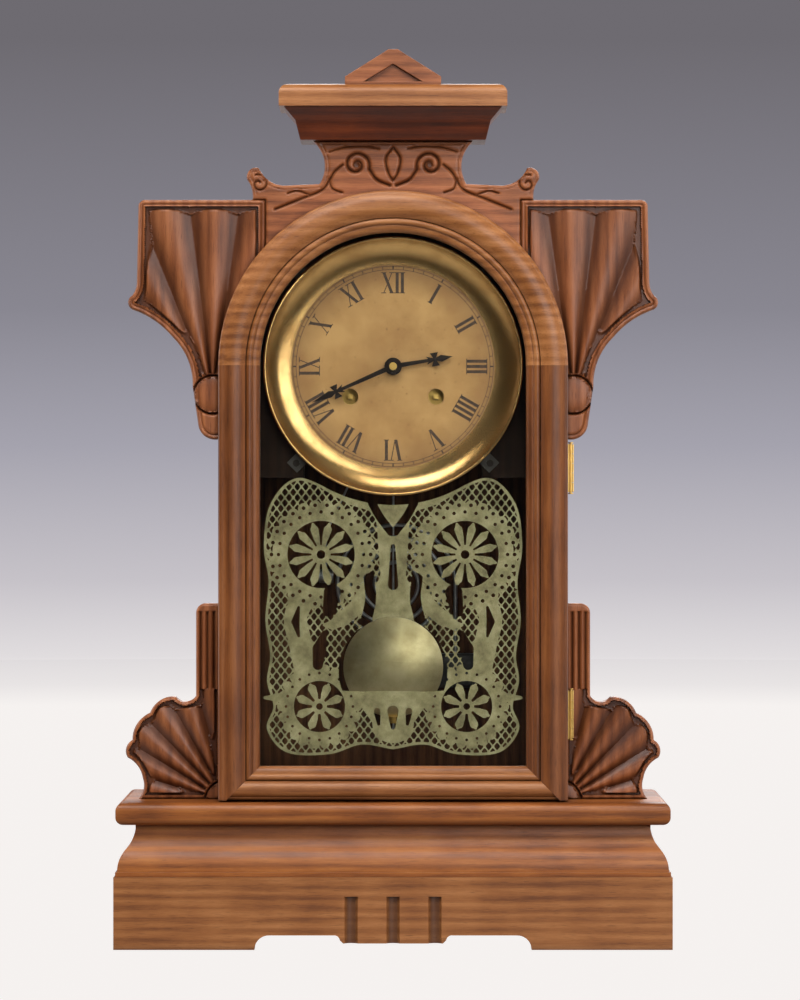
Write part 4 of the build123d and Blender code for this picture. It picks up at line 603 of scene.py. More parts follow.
def smooth(points):
    """A smooth run through a few points."""
    p = [np.asarray(point, float) for point in points]
    p = [2 * p[0] - p[1], *p, 2 * p[-1] - p[-2]]
    run = []
    for a, b, c, d in zip(p, p[1:], p[2:], p[3:]):
        for part in range(SMOOTH_PARTS):
            t = part / SMOOTH_PARTS
            run.append(
                0.5 * (2 * b + (c - a) * t + (2 * a - 5 * b + 4 * c - d) * t * t
                       + (3 * b - a - 3 * c + d) * t**3)
            )
    run.append(p[-2])
    return run


def curl(centre, radius, start, turns, least=0.18, parts=40):
    """A spiral from its outer end in to the middle; turns may be negative."""
    run = []
    for part in range(parts + 1):
        t = part / parts
        r = radius * (1 - (1 - least) * t)
        angle = math.radians(start) + 2 * math.pi * turns * t
        run.append((centre[0] + r * math.cos(angle), centre[1] + r * math.sin(angle)))
    return run


STEP_SLOPE = 0.8


def groove(gap, half_width, deep):
    """Depth of a V cut whose middle line is gap away."""
    return deep * np.clip(1 - gap / half_width, 0, 1)


def step_down(gap, deep):
    """Depth of ground sunk where gap is under 0, with a short slope outside it."""
    return deep * np.clip(1 - gap / STEP_SLOPE, 0, 1)


CARVE_STEP = 0.8
EDGE_ROUND = 1.6
FULL_CUT_SHADE = 2.0
SHARP_FROM = 50
ROW_SPACING = 0.866
RIM_KEEP = 0.5
LINE_KEEP = 0.45
LINE_CLEAR = 0.6
LONGEST_EDGE = 3
INSET_SLACK = 0.1
MERGE_WITHIN = 1e-3


def open_run(run, step):
    """Points along an open run of straight pieces, no more than step apart."""
    points = spaced(run, step)
    if len(run) == 2:
        return points[: int(np.hypot(*(run[1] - run[0])) / step) + 1]
    closing = max(1, int(np.hypot(*(run[0] - run[-1])) / step))
    return np.vstack([points[:-closing], run[-1:]])


def runs_inside(line, loop, closed, clear):
    """The stretches of a line of points that lie inside an outline, clear of its edge."""
    good = inside(line, loop) & (path_gap(line, closed) > clear)
    stretches, current = [], []
    for point, kept in zip(line, good):
        if kept:
            current.append(point)
        elif current:
            stretches.append(current)
            current = []
    return [np.array(run) for run in [*stretches, current] if len(run) > 1]


def inset(rim, closed, distance):
    """Points a distance in from an outline, leaving out those that its corners overlap."""
    x, z = rim.T
    area = np.sum(x * np.roll(z, -1) - np.roll(x, -1) * z)
    along = np.roll(rim, -1, axis=0) - np.roll(rim, 1, axis=0)
    inward = np.column_stack([-along[:, 1], along[:, 0]]) * (1 if area > 0 else -1)
    inward /= np.maximum(np.hypot(*inward.T), 1e-9)[:, None]
    moved = rim + inward * distance
    moved[np.abs(path_gap(moved, closed) - distance) > INSET_SLACK] = rim[0]
    return moved


def carved_outline(loop, creases, insets, step):
    """One board's face as flat points and triangles, with mesh edges along every crease."""
    rim = spaced(loop, step)
    closed = np.vstack([rim, rim[:1]])
    lo, hi = loop.min(0), loop.max(0)
    columns = np.arange(lo[0], hi[0], step)
    rows = np.arange(lo[1], hi[1], step * ROW_SPACING)
    grid = np.array([(x + (row % 2) * step / 2, z) for row, z in enumerate(rows) for x in columns])
    grid = grid[inside(grid, loop)]
    grid = grid[path_gap(grid, closed) > step * RIM_KEEP]
    lines = [inset(rim, closed, distance) for distance in insets]
    for crease in creases:
        for side in (1, -1):
            run = np.array([(side * x, z) for x, z in crease])
            lines.append(open_run(run, step))
    edges = [(i, (i + 1) % len(rim)) for i in range(len(rim))]
    points = [rim]
    count = len(rim)
    for line in lines:
        for run in runs_inside(line, loop, closed, step * LINE_CLEAR):
            grid = grid[path_gap(grid, run) > step * LINE_KEEP]
            gaps = np.hypot(*np.diff(run, axis=0).T)
            edges += [
                (count + i, count + i + 1) for i, gap in enumerate(gaps) if gap < LONGEST_EDGE * step
            ]
            points.append(run)
            count += len(run)
    points.append(grid)
    spots = [Vector(point) for point in np.vstack(points)]
    out = delaunay_2d_cdt(spots, edges, [], 1, MERGE_WITHIN)
    flat = np.array([(co.x, co.y) for co in out[0]])
    edge = np.maximum(path_gap(flat, closed), 0)
    rim_at = [None] * len(rim)
    for index, sources in enumerate(out[3]):
        for source in sources:
            if source < len(rim):
                rim_at[source] = index
                edge[index] = 0
    return flat, edge, out[2], rim_at


def carved(name, node_name, depth_at, creases, insets):
    """Boards of a CAD node with a carved front; depth_at gives the cut for points and edge distance."""
    low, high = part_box(node_name)
    front_y, back_y = low.y / MM, high.y / MM
    bm = bmesh.new()
    cut_layer = bm.verts.layers.float.new("cut")
    for loop in front_loops(node_name):
        flat, edge, faces, rim_at = carved_outline(loop, creases, insets, CARVE_STEP)
        cut = depth_at(flat, edge)
        rounding = np.clip(EDGE_ROUND - edge, 0, None)
        fall = EDGE_ROUND - np.sqrt(np.maximum(EDGE_ROUND**2 - rounding**2, 0))
        depth = np.maximum(cut, fall)
        verts = []
        # Each point keeps its cut depth, which the wood paints as shade
        for (x, z), deep, cut_shade in zip(flat, depth, np.clip(cut / FULL_CUT_SHADE, 0, 1)):
            verts.append(bm.verts.new((x * MM, (front_y + deep) * MM, z * MM)))
            verts[-1][cut_layer] = float(cut_shade)
        for face in faces:
            bm.faces.new([verts[i] for i in face])
        front_rim = [verts[i] for i in rim_at]
        back_rim = [bm.verts.new((vert.co.x, back_y * MM, vert.co.z)) for vert in front_rim]
        for i in range(len(front_rim)):
            j = (i + 1) % len(front_rim)
            bm.faces.new((front_rim[i], front_rim[j], back_rim[j], back_rim[i]))
        bm.faces.new(back_rim)
    bmesh.ops.recalc_face_normals(bm, faces=bm.faces)
    mesh = bpy.data.meshes.new(name)
    bm.to_mesh(mesh)
    bm.free()
    mesh.shade_smooth()
    mesh.set_sharp_from_angle(angle=math.radians(SHARP_FROM))
    material = nodes[node_name].data.materials[0]
    piece = new_piece(name, mesh, nodes[node_name]["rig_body"], material)
    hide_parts(node_name)


# Ears: a fluted fan that opens from the dial towards the tip, inside a plain border
# Each fan: centre, first angle and angle of a ray in degrees, number of rays
FAN = ((113.0, 345.0), -22.0, 15.0, 10)
BORDER = 5.5
BORDER_LINE = 2.8
FAN_HUB = 12.0
FAN_DEEP = 2.6
BORDER_LINE_HALF = 0.9
BORDER_LINE_DEEP = 0.8
RAY_SUNK = 0.35
TIP_SWELL = 3.2
TIP_SLOPE = 0.9
TIP_DEEP = 0.9
HUB_LINE_HALF = 1.2
HUB_BOSS = 0.6


def fan_depth(points, edge, centre, start, ray, rays, deep, border, hub):
    """Rounded rays about a centre, ending in round tips at the border, with a round hub."""
    x, z = np.abs(points[:, 0]) - centre[0], points[:, 1] - centre[1]
    radius = np.hypot(x, z)
    angle = (np.degrees(np.arctan2(z, x)) - start) / ray
    across = 2 * np.abs(angle - np.floor(angle) - 0.5)
    in_fan = (angle > 0) & (angle < rays)
    bulge = deep * (1 - np.cos(across * math.pi / 2))
    tip = np.clip((border + TIP_SWELL * across**2 + TIP_SLOPE - edge) / TIP_SLOPE, 0, 1)
    depth = np.where(in_fan, bulge + RAY_SUNK, 0.0)
    blend = np.maximum(depth * (1 - tip), deep * TIP_DEEP * tip)
    depth = np.where(in_fan & (tip > 0), blend, depth)
    depth = np.where(in_fan & (edge < border - TIP_SLOPE), 0.0, depth)
    hub_gap = radius - hub
    hub_line = groove(np.abs(hub_gap), HUB_LINE_HALF, deep)
    depth = np.where(hub_gap < HUB_LINE_HALF, hub_line, depth)
    boss = deep * np.clip(radius / hub, 0, 1) ** 4
    return np.where(hub_gap < -HUB_LINE_HALF, boss * HUB_BOSS, depth)


def ear_depth(points, edge):
    """Cut of the ears: fan, hub and a line beside the border."""
    depth = fan_depth(points, edge, *FAN, FAN_DEEP, BORDER, FAN_HUB)
    line = groove(np.abs(edge - BORDER_LINE), BORDER_LINE_HALF, BORDER_LINE_DEEP)
    return np.maximum(depth, line)


carved(
    "side_ears_carved",
    "side_ears",
    ear_depth,
    fan_lines(*FAN, FAN_HUB),
    (BORDER_LINE,),
)

# Crest: paired leaf scrolls in the neck, and a tendril along each shoulder
CREST_CURL = (23.0, 489.0)
CREST_EYE_R = 1.6
CREST_EYE_DEEP = 2.0
CREST_LINE = 2.4
CREST_LINE_HALF = 0.6
CREST_LINE_DEEP = 0.6
CREST_LINE_LOW = 470
# Each stroke: its path, half its width, its depth
crest_strokes = [
    (curl(CREST_CURL, 8.5, 200, -1.4), 1.5, 1.9),
    (smooth([(15.0, 486.0), (10.0, 479.5), (2.0, 476.0)]), 1.5, 1.9),
    (smooth([(0.0, 500.0), (4.5, 493.0), (3.0, 484.0), (0.0, 479.0)]), 1.2, 1.6),
    (smooth([(31.5, 489.0), (37.0, 484.0), (44.0, 473.5), (58.0, 467.5), (74.0, 461.0)]), 1.3, 1.6),
    (smooth([(40.0, 480.0), (38.0, 474.0), (32.0, 471.5)]), 1.1, 1.4),
    (smooth([(52.0, 470.0), (60.0, 472.5), (66.0, 471.0)]), 1.0, 1.3),
    (curl((84.0, 477.0), 6.0, 70, 1.2), 1.1, 1.4),
    (smooth([(9.0, 499.0), (17.0, 500.5), (30.0, 500.0), (40.0, 497.0)]), 1.0, 1.2),
]


def crest_depth(points, edge):
    """Cut of the crest: leaf scrolls as V cuts with sunk ground round the curls."""
    half = np.column_stack([np.abs(points[:, 0]), points[:, 1]])
    depth = np.zeros(len(points))
    for path, half_width, deep in crest_strokes:
        depth = np.maximum(depth, groove(path_gap(half, path), half_width, deep))
    eye = np.hypot(half[:, 0] - CREST_CURL[0], half[:, 1] - CREST_CURL[1])
    depth = np.maximum(depth, step_down(eye - CREST_EYE_R, CREST_EYE_DEEP))
    line = groove(np.abs(edge - CREST_LINE), CREST_LINE_HALF, CREST_LINE_DEEP)
    return np.maximum(depth, line * (points[:, 1] > CREST_LINE_LOW))


carved(
    "crest_board_carved",
    "crest_board",
    crest_depth,
    [path for path, half_width, deep in crest_strokes],
    (),
)

# Brackets: leaf lobes that spread from the base corner, and a reeded block above
LEAF = ((CASE_HALF - 4.0, BASE_TOP - 2.0), 2.0, 14.6, 6)
LEAF_HUB = 14.0
LEAF_DEEP = 2.8
LEAF_BORDER = 3.2
REED_PITCH = 4.2
REED_DEEP = 1.8
REED_LINES = 4
REED_MARGIN = 1.0
REED_LOW = 160.0
BLOCK_WIDE = 15.5
BLOCK_MARGIN = 5


def bracket_depth(points, edge):
    """Cut of the lower brackets: leaf rays below, upright reeds on the block."""
    x, z = np.abs(points[:, 0]), points[:, 1]
    leaf = fan_depth(points, edge, *LEAF, LEAF_DEEP, LEAF_BORDER, LEAF_HUB)
    across = np.mod(x - CASE_HALF, REED_PITCH) / REED_PITCH * 2 - 1
    reeds = REED_DEEP * (1 - np.cos(across * math.pi / 2))
    reeds = np.where((z < BLOCK_TOP - BLOCK_MARGIN) & (edge > REED_MARGIN), reeds, 0.0)
    block = (x < CASE_HALF + BLOCK_WIDE) & (z > REED_LOW)
    return np.where(block, reeds, leaf)


reed_edges = [CASE_HALF + REED_PITCH * i for i in range(REED_LINES)]
carved(
    "lower_brackets_carved",
    "lower_brackets",
    bracket_depth,
    fan_lines(*LEAF, LEAF_HUB) + [[(x, REED_LOW), (x, BLOCK_TOP)] for x in reed_edges],
    (),
)


# Printed shapes as thin solids
def thin_solid(name, corners, faces, y_front, y_back, body, material, slot):
    """Flat faces in x and z, given a small thickness."""
    bm = bmesh.new()
    verts = [bm.verts.new((x * MM, y_front * MM, z * MM)) for x, z in corners]
    made = []
    for face in faces:
        ring = [verts[i] for i in face]
        up = (ring[1].co - ring[0].co).cross(ring[2].co - ring[0].co).y < 0
        made.append(bm.faces.new(ring if up else ring[::-1]))
    loose = [vert for vert in bm.verts if not vert.link_faces]
    bmesh.ops.delete(bm, geom=loose, context="VERTS")
    swept = bmesh.ops.extrude_face_region(bm, geom=made)["geom"]
    moved = [item for item in swept if isinstance(item, bmesh.types.BMVert)]
    bmesh.ops.translate(bm, verts=moved, vec=(0, (y_back - y_front) * MM, 0))
    bmesh.ops.recalc_face_normals(bm, faces=bm.faces)
    mesh = bpy.data.meshes.new(name)
    bm.to_mesh(mesh)
    bm.free()
    return new_piece(name, mesh, body, material)


PRINT_MERGE = 1e-4


def joined(polygons):
    """Overlapping polygons merged into one flat mesh, as corners and faces."""
    corners, faces = [], []
    for polygon in polygons:
        start = len(corners)
        corners.extend(Vector(p) for p in polygon)
        faces.append(list(range(start, len(corners))))
    out = delaunay_2d_cdt(corners, [], faces, 1, PRINT_MERGE)
    kept = [face for face, source in zip(out[2], out[5]) if source]
    return [(co.x, co.y) for co in out[0]], kept


# Dial printing: Roman numerals and a minute track
NUMERAL_LOW = 46.0
NUMERAL_HIGH = 59.2
TRACK_LOW = 60.8
TRACK_HIGH = 63.2
THICK = 1.9
THIN = 0.55
SERIF = 0.5
SERIF_OUT = 1.3
STEM_IN = 1.6
V_RIGHT_IN = 1.3
V_JOIN = 0.4
TRACK_LINE = 0.3
TICK = 0.4
HOUR_TICK = 0.9
PAPER_GAP = 0.005
INK_FRONT = 0.06
HOUR_MARKS = ("XII", "I", "II", "III", "IIII", "V", "VI", "VII", "VIII", "IX", "X", "XI")
LETTER_WIDTH = {"I": 3.3, "V": 8.4, "X": 8.4}


def bar(x_low, z_low, x_high, z_high, width):
    """Slanted or upright bar with level ends."""
    half = width / 2
    return [
        (x_low - half, z_low),
        (x_low + half, z_low),
        (x_high + half, z_high),
        (x_high - half, z_high),
    ]


def letter(mark, x):
    """Bars of one numeral letter whose left side is at x."""
    tall = NUMERAL_HIGH - NUMERAL_LOW
    wide = LETTER_WIDTH[mark]
    if mark == "I":
        middle = x + wide / 2
        serifs = [(middle, 0.0), (middle, tall - SERIF)]
        bars = [bar(middle, 0, middle, tall, THICK)]
    elif mark == "V":
        left, right, middle = x + STEM_IN, x + wide - V_RIGHT_IN, x + wide / 2
        serifs = [(left, tall - SERIF), (right, tall - SERIF)]
        bars = [bar(middle, 0, left, tall, THICK), bar(middle + V_JOIN, 0, right, tall, THIN)]
    else:
        left, right = x + STEM_IN, x + wide - STEM_IN
        serifs = [(side, z) for side in (left, right) for z in (0.0, tall - SERIF)]
        bars = [bar(right, 0, left, tall, THICK), bar(left, 0, right, tall, THIN)]
    for middle, low in serifs:
        bars.append(bar(middle, low, middle, low + SERIF, THICK + SERIF_OUT))
    return bars


def turned(polygon, clock_angle):
    """A shape about twelve o'clock, radius upward, turned to its place on the dial."""
    angle = math.radians(clock_angle)
    c, s = math.cos(angle), math.sin(angle)
    return [(x * c + r * s, DIAL_Z - x * s + r * c) for x, r in polygon]


dial_shapes = []
for hour, marks in enumerate(HOUR_MARKS):
    left = -sum(LETTER_WIDTH[mark] for mark in marks) / 2
    for mark in marks:
        for shape in letter(mark, left):
            raised = [(x, z + NUMERAL_LOW) for x, z in shape]
            dial_shapes.append(turned(raised, 30 * hour))
        left += LETTER_WIDTH[mark]
for minute in range(60):
    width = HOUR_TICK if minute % 5 == 0 else TICK
    dial_shapes.append(turned(bar(0, TRACK_LOW, 0, TRACK_HIGH, width), 6 * minute))
    for radius in (TRACK_LOW, TRACK_HIGH - TRACK_LINE):
        for start in (6 * minute, 6 * minute + 3):
            across = [(0, radius), (0, radius + TRACK_LINE)]
            near = turned(across, start)
            far = turned(across, start + 3)
            dial_shapes.append([near[0], far[0], far[1], near[1]])
ink_front, ink_back = PAPER_FRONT - INK_FRONT, PAPER_FRONT - PAPER_GAP
thin_solid("dial_numerals", *joined(dial_shapes), ink_front, ink_back, "case", INK, "dial_paper")

# Ornament on the glass: two medallions, a middle column and a lower frame round the bob
MEDALLION = (45.0, 245.0)
MEDALLION_R = 30.0
LOWER = (46.0, 150.0)
LOWER_R = 23.0
PRINT_LOW = 116.0
PRINT_HALF = 82.0
PRINT_TOP = 306.0
BEZEL_CLEAR_R = 87.0
FRAME_TOP = 159.5
FAR = 50.0
BOB_CLEAR = 2.0
EYE_SHARE = 0.45


def circle_gap(points, centre, radius):
    return np.hypot(points[:, 0] - centre[0], points[:, 1] - centre[1]) - radius


def ring_of(centre, radius, count):
    """Places evenly round a circle."""
    turns = [math.radians(360 * i / count) for i in range(count)]
    return [(centre[0] + radius * math.cos(a), centre[1] + radius * math.sin(a)) for a in turns]


def petal(centre, root, tip, angle, half_width):
    """A pointed petal as a short run with widths."""
    c, s = math.cos(math.radians(angle)), math.sin(math.radians(angle))
    radii = [root + (tip - root) * t for t in (0, 0.4, 0.75, 1.0)]
    path = [(centre[0] + r * c, centre[1] + r * s) for r in radii]
    return path, [0.8, half_width * 0.8, half_width, 0.8]


def rosette(points, centre, hub, rim, count, half_width):
    """Dark ring with light petals across it, and a dark eye in the hub."""
    radius = circle_gap(points, centre, 0.0)
    dark = np.abs(radius - (hub + rim) / 2) - (rim - hub) / 2
    for turn in range(count):
        path, widths = petal(centre, hub - 1.0, rim - 1.2, 360 * (turn + 0.5) / count, half_width)
        dark = np.maximum(dark, -path_gap(points, path, widths))
    return np.minimum(dark, radius - hub * EYE_SHARE)


NET_PITCH = 5.2
NET_LINE = 0.42
NET_DOT = 1.0
NET_TALL = 1.3
NET_SQUASH = 0.79
NET_BORDER = 0.8
NET_EDGE = [
    (0, 284), (34, 284), (60, 292), (76, 276), (80, 250), (77, 228), (79, 204), (76, 182),
    (78, 166), (74, 150), (78, 136), (66, 122), (40, 121), (20, 127), (0, 124),
]


def net_gap(points):
    """Signed distance to a diamond net with a dot on each crossing, inside a scalloped border."""
    rim = np.array(smooth(NET_EDGE))
    within = inside(points, np.vstack([rim, [(-5, NET_EDGE[-1][1]), (-5, NET_EDGE[0][1])]]))
    border = path_gap(points, rim)
    x, z = points[:, 0] / NET_PITCH, points[:, 1] / NET_PITCH / NET_TALL
    lines = [np.abs(np.mod(x + turn * z, 1.0) - 0.5) * NET_PITCH * NET_SQUASH for turn in (1, -1)]
    dots = np.hypot(*lines) - NET_DOT
    net = np.minimum(np.minimum(lines[0], lines[1]) - NET_LINE, dots)
    net = np.where(within, net, np.maximum(net, border))
    return np.minimum(net, np.abs(border) - NET_BORDER)


def brushed(points, knots, half_width):
    """Signed distance to a smooth stroke of even width through a few points."""
    path = smooth(knots)
    return path_gap(points, path, [half_width] * len(path))


def dotted(points, centre, radius, count, dot):
    """Signed distances to dots spaced evenly round a circle."""
    return [circle_gap(points, spot, dot) for spot in ring_of(centre, radius, count)]


def print_gap(points):
    """Signed distance to the printed paint for points with x from 0 up; under 0 is paint."""
    paint = [
        circle_gap(points, MEDALLION, MEDALLION_R),
        circle_gap(points, LOWER, LOWER_R),
        path_gap(points, [(0, 275), (0, 262), (0, 232), (0, 212)], [12, 10, 8, 15]),
        path_gap(points, [(0, 274), (26, 280), (44, 287)], [6, 4, 1]),
        path_gap(points, [(16, 226), (22, 213), (31, 205), (38, 201), (43, 201)], [3.4, 5, 4.6, 3, 1]),
        brushed(points, [(56, 218), (61, 205), (58, 190), (54, 170)], 7.2),
        path_gap(points, [(0, 155.5), (70, 155.5), (80, 155.5)], [3.6, 3.0, 1.0]),
        path_gap(points, [(0, 150), (0, 140)], [20, 13]),
    ]
    paint += dotted(points, MEDALLION, MEDALLION_R + 0.5, 26, 3.6)
    paint += dotted(points, LOWER, LOWER_R + 0.5, 22, 3.0)
    gap = np.minimum(np.min(paint, axis=0), net_gap(points))
    holes = [
        rosette(points, MEDALLION, 6.0, 21.0, 12, 2.5),
        rosette(points, LOWER, 4.6, 16.0, 8, 2.6),
        path_gap(points, [(47, 176), (46, 186), (43, 196)], [3.2, 4.4, 1.6]),
        path_gap(points, [(59, 212), (61, 203), (59, 194)], [0.8, 2.6, 0.8]),
        brushed(points, [(13, 277), (8, 268), (1, 259)], 2.6),
        brushed(points, [(15, 230), (14, 217), (17, 203)], 3.4),
        path_gap(points, [(38, 221), (40, 210)], [5.4, 4.0]),
        path_gap(points, [(0, 250), (0, 226)], [1.4, 3.2]),
        path_gap(points, [(0, 147), (0, 137)], [3.6, 1.4]),
        path_gap(points, [(10, 147), (9, 139)], [2.2, 1.0]),
        np.where(points[:, 1] > FRAME_TOP, circle_gap(points, (0, BOB_Z), BOB_R + BOB_CLEAR), FAR),
    ]
    holes += dotted(points, MEDALLION, 26.6, 24, 1.1)
    holes += dotted(points, MEDALLION, MEDALLION_R + 1, 26, 1.2)
    holes += dotted(points, LOWER, 20.9, 20, 0.9)
    gap = np.maximum(gap, -np.min(holes, axis=0))
    gap = np.maximum(gap, BEZEL_CLEAR_R - np.hypot(points[:, 0], points[:, 1] - DIAL_Z))
    return np.maximum(gap, points[:, 0] - PRINT_HALF)


PRINT_STEP = 0.5
PAINT_GAP = 0.02
PAINT_BACK = 0.1
# Cell corners in order: low left, low right, high right, high left; edge n runs from corner n on
CELL = ((0, 0), (1, 0), (1, 1), (0, 1))


def contour(field, x_values, z_values):
    """Closed outlines where field is 0, as points and the edges between them."""
    places, index, edges = [], {}, []
    sign = field < 0
    mixed = sign[:-1, :-1].astype(int) + sign[1:, :-1] + sign[1:, 1:] + sign[:-1, 1:]

    def crossing(a, b):
        first, second = min(a, b), max(a, b)
        if (first, second) not in index:
            u, v = field[first], field[second]
            t = u / (u - v)
            index[(first, second)] = len(places)
            x = x_values[first[0]] + t * (x_values[second[0]] - x_values[first[0]])
            z = z_values[first[1]] + t * (z_values[second[1]] - z_values[first[1]])
            places.append((x, z))
        return index[(first, second)]

    for i, j in zip(*np.nonzero((mixed > 0) & (mixed < 4))):
        ring = [(int(i) + di, int(j) + dj) for di, dj in CELL]
        cuts = [
            crossing(a, b) for a, b in zip(ring, ring[1:] + ring[:1]) if sign[a] != sign[b]
        ]
        for a, b in zip(cuts[::2], cuts[1::2]):
            edges.append((a, b))
    return places, edges


def glass_print():
    """The ornament as a thin layer of paint on the back of the door glass."""
    x_values = np.arange(-PRINT_HALF - 1, PRINT_HALF + 1.01, PRINT_STEP)
    z_values = np.arange(PRINT_LOW, PRINT_TOP + 1, PRINT_STEP)
    positive = x_values[x_values >= 0]
    mesh_x, mesh_z = np.meshgrid(positive, z_values, indexing="ij")
    half = print_gap(np.column_stack([mesh_x.ravel(), mesh_z.ravel()])).reshape(mesh_x.shape)
    field = np.vstack([half[:0:-1], half])
    places, edges = contour(field, x_values, z_values)
    out = delaunay_2d_cdt([Vector(p) for p in places], edges, [], 0, PRINT_MERGE)
    corners = np.array([(co.x, co.y) for co in out[0]])
    middles = np.array([corners[face].mean(axis=0) for face in out[2]])
    middles[:, 0] = np.abs(middles[:, 0])
    kept = [face for face, gap in zip(out[2], print_gap(middles)) if gap < 0.0]
    front, back = GLASS_BACK + PAINT_GAP, GLASS_BACK + PAINT_BACK
    return thin_solid("glass_ornament", corners, kept, front, back, "door", PRINT, "glass")


glass_print()


# Softened edges on the plain boards and mouldings, which stay CAD nodes
SOFT_EDGE = 0.5
SOFT_FROM = 35
WELD_WITHIN = 0.01
CARVED_NODES = ("side_ears", "crest_board", "lower_brackets")


def softened(node):
    """Small rounded edges, so that corners catch the light."""
    weld = node.modifiers.new("weld", "WELD")
    weld.merge_threshold = WELD_WITHIN * MM
    bevel = node.modifiers.new("bevel", "BEVEL")
    bevel.width = SOFT_EDGE * MM
    bevel.segments = 2
    bevel.limit_method = "ANGLE"
    bevel.angle_limit = math.radians(SOFT_FROM)
    bevel.use_clamp_overlap = True
    node.data.shade_smooth()
    weighted = node.modifiers.new("weighted", "WEIGHTED_NORMAL")
    weighted.keep_sharp = False


for node_name in WOOD_OF:
    if node_name not in CARVED_NODES:
        softened(nodes[node_name])

# Floor and backdrop in one round sheet, wide enough for a camera on any side
ROOM_R = 5.2
ROOM_TOP = 5.2
ROOM_BEND = 0.6
ROOM_PARTS = 72
BEND_PARTS = 16
STAGE_LIT = 0.2
STAGE_GLOW = 0.94
BACKDROP_HIGH = 1.6
FLOOR_FADES_AT = 3.0
FLOOR_FADE = 0.05
BOUNCE_GREY = 0.5
MIRRORED_LOW = 0.04
MIRRORED_FROM = -1.0
MIRRORED_TO = -0.3


def backdrop_mesh():
    """Round floor that curves up into a wall all round."""
    profile = [(ROOM_R - ROOM_BEND, 0.0)]
    for part in range(1, BEND_PARTS + 1):
        angle = math.radians(90 * part / BEND_PARTS)
        out, up = ROOM_BEND * math.sin(angle), ROOM_BEND * (1 - math.cos(angle))
        profile.append((ROOM_R - ROOM_BEND + out, up))
    profile.append((ROOM_R, ROOM_TOP))
    bm = bmesh.new()
    rings = []
    for radius, z in profile:
        turns = [2 * math.pi * part / ROOM_PARTS for part in range(ROOM_PARTS)]
        rings.append([bm.verts.new((radius * math.cos(a), radius * math.sin(a), z)) for a in turns])
    bm.faces.new(rings[0])
    for low, high in zip(rings, rings[1:]):
        for i in range(ROOM_PARTS):
            j = (i + 1) % ROOM_PARTS
            bm.faces.new((low[i], low[j], high[j], high[i]))
    mesh = bpy.data.meshes.new("backdrop")
    bm.to_mesh(mesh)
    bm.free()
    mesh.shade_smooth()
    return mesh


def backdrop():
    """Pale floor and a wall that is white below and blue-grey above."""
    mesh = backdrop_mesh()
    sheet = bpy.data.objects.new("backdrop", mesh)
    bpy.context.scene.collection.objects.link(sheet)
    material, tree, shader = new_material("backdrop")
    place = add(
        tree, "ShaderNodeSeparateXYZ", {"Vector": add(tree, "ShaderNodeTexCoord").outputs["Object"]}
    )
    across = add(tree, "ShaderNodeCombineXYZ", {"X": place.outputs["X"], "Y": place.outputs["Y"]})
    away = add(tree, "ShaderNodeVectorMath", {0: across.outputs[0]}, operation="LENGTH").outputs["Value"]
    faded = math_node(tree, "MAXIMUM", math_node(tree, "SUBTRACT", away, FLOOR_FADES_AT), 0.0)
    level = math_node(tree, "ADD", place.outputs["Z"], math_node(tree, "MULTIPLY", faded, FLOOR_FADE))
    height = add(
        tree, "ShaderNodeMapRange", {"Value": level, "From Max": BACKDROP_HIGH}
    ).outputs["Result"]
    stops = [
        (0.0, srgb(252, 248, 246)),
        (0.02, srgb(238, 234, 234)),
        (0.06, srgb(226, 222, 224)),
        (0.144, srgb(200, 196, 202)),
        (0.306, srgb(166, 164, 175)),
        (0.47, srgb(138, 136, 146)),
        (0.79, srgb(111, 108, 114)),
    ]
    colour = ramp(tree, height, stops)
    path = add(tree, "ShaderNodeLightPath")
    glossy = path.outputs["Is Glossy Ray"]
    seen = math_node(tree, "MAXIMUM", path.outputs["Is Camera Ray"], path.outputs["Is Transmission Ray"])
    seen = math_node(tree, "MAXIMUM", seen, glossy)
    shown = mix_colour(tree, 1.0, colour, grey(STAGE_LIT), "MULTIPLY")
    lit = add(tree, "ShaderNodeBsdfDiffuse", {"Color": mix_colour(tree, seen, grey(BOUNCE_GREY), shown)})
    strength = math_node(tree, "MULTIPLY", seen, STAGE_GLOW)
    glow = add(tree, "ShaderNodeEmission", {"Color": colour, "Strength": strength})
    total = add(tree, "ShaderNodeAddShader", {0: lit.outputs[0], 1: glow.outputs[0]})
    # The side that the glass mirrors stays dark in it, as behind a photographer
    reach = {"From Min": MIRRORED_FROM, "From Max": MIRRORED_TO, "To Min": MIRRORED_LOW}
    mirrored = add(
        tree, "ShaderNodeMapRange", {"Value": place.outputs["Y"], **reach}
    ).outputs["Result"]
    hidden = math_node(tree, "SUBTRACT", 1.0, mirrored)
    kept = math_node(tree, "SUBTRACT", 1.0, math_node(tree, "MULTIPLY", glossy, hidden))
    mixed = add(tree, "ShaderNodeMixShader", {0: kept, 2: total.outputs[0]})
    tree.links.new(mixed.outputs[0], tree.nodes["Material Output"].inputs["Surface"])
    tree.nodes.remove(shader)
    mesh.materials.append(material)


backdrop()


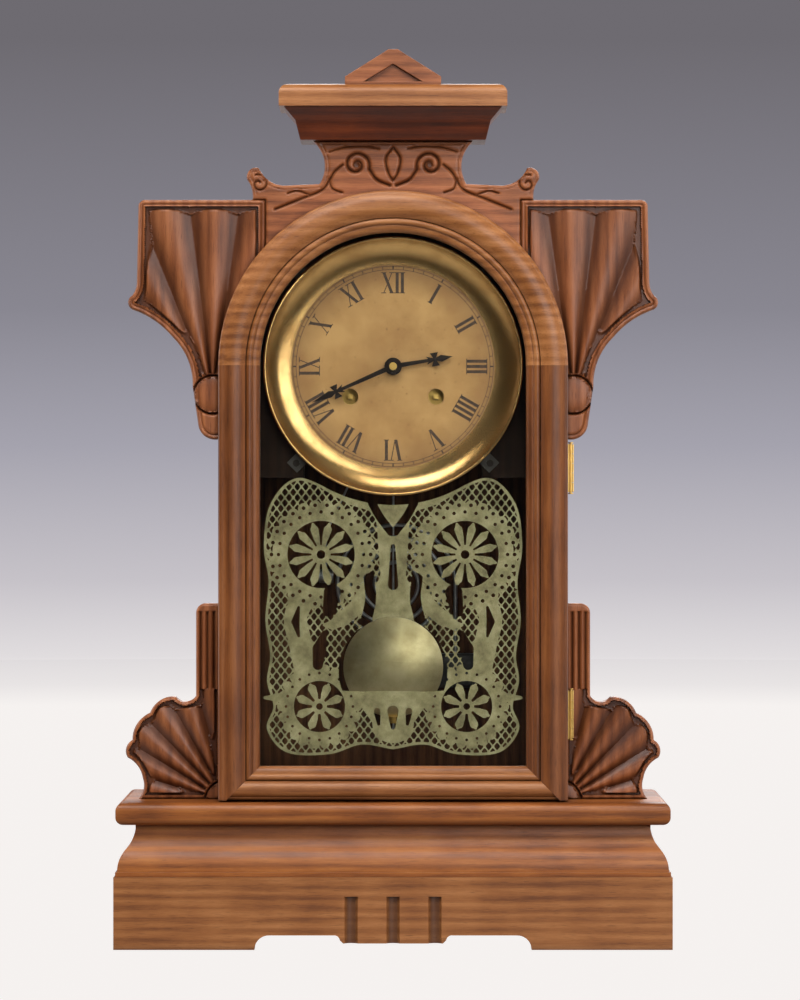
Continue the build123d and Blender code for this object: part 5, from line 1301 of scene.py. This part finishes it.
# Lights
AIM = Vector((0.0, 0.0, (cad_box[0].z + cad_box[1].z) / 2))
WORLD_STRENGTH = 0.1


def soft_light(name, place, width, height, power):
    """A large soft lamp that faces the middle of the object."""
    lamp = bpy.data.lights.new(name, "AREA")
    lamp.shape = "RECTANGLE"
    lamp.size, lamp.size_y = width, height
    lamp.energy = power
    holder = bpy.data.objects.new(name, lamp)
    holder.location = place
    holder.visible_camera = False
    holder.rotation_euler = (AIM - Vector(place)).to_track_quat("-Z", "Y").to_euler()
    bpy.context.scene.collection.objects.link(holder)


soft_light("key", (-0.35, -1.3, 2.05), 1.5, 0.9, 36.0)
soft_light("fill", (0.9, -2.2, 0.9), 1.6, 1.2, 30.0)
soft_light("back", (0.4, 1.9, 1.4), 1.5, 1.1, 34.0)
for side in (-1, 1):
    soft_light("side", (side * 2.0, 0.25, 0.8), 1.2, 1.4, 20.0)

world = bpy.data.worlds.new("studio")
bpy.context.scene.world = world
world.use_nodes = True
world.node_tree.nodes["Background"].inputs["Color"].default_value = srgb(226, 226, 232)
world.node_tree.nodes["Background"].inputs["Strength"].default_value = WORLD_STRENGTH

# Camera: straight on, long lens, framed as in the photograph
PHOTO_WIDTH, PHOTO_HEIGHT = 800, 1000
BASE_PIXEL = 950.0
TOP_PIXEL = 47.0
MIDDLE_PIXEL = 393.0
CAMERA_BACK = 2.6
SENSOR = 36.0

pixel = (cad_box[1].z - cad_box[0].z) / (BASE_PIXEL - TOP_PIXEL)
camera_data = bpy.data.cameras.new("camera")
camera_data.sensor_width = SENSOR
camera_data.lens = SENSOR * (CAMERA_BACK + cad_box[0].y) / (PHOTO_HEIGHT * pixel)
camera = bpy.data.objects.new("camera", camera_data)
camera.location = (
    (PHOTO_WIDTH / 2 - MIDDLE_PIXEL) * pixel,
    -CAMERA_BACK,
    (BASE_PIXEL - PHOTO_HEIGHT / 2) * pixel,
)
camera.rotation_euler = (math.radians(90), 0, 0)
bpy.context.scene.collection.objects.link(camera)
bpy.context.scene.camera = camera
bpy.context.scene.view_settings.view_transform = "Standard"
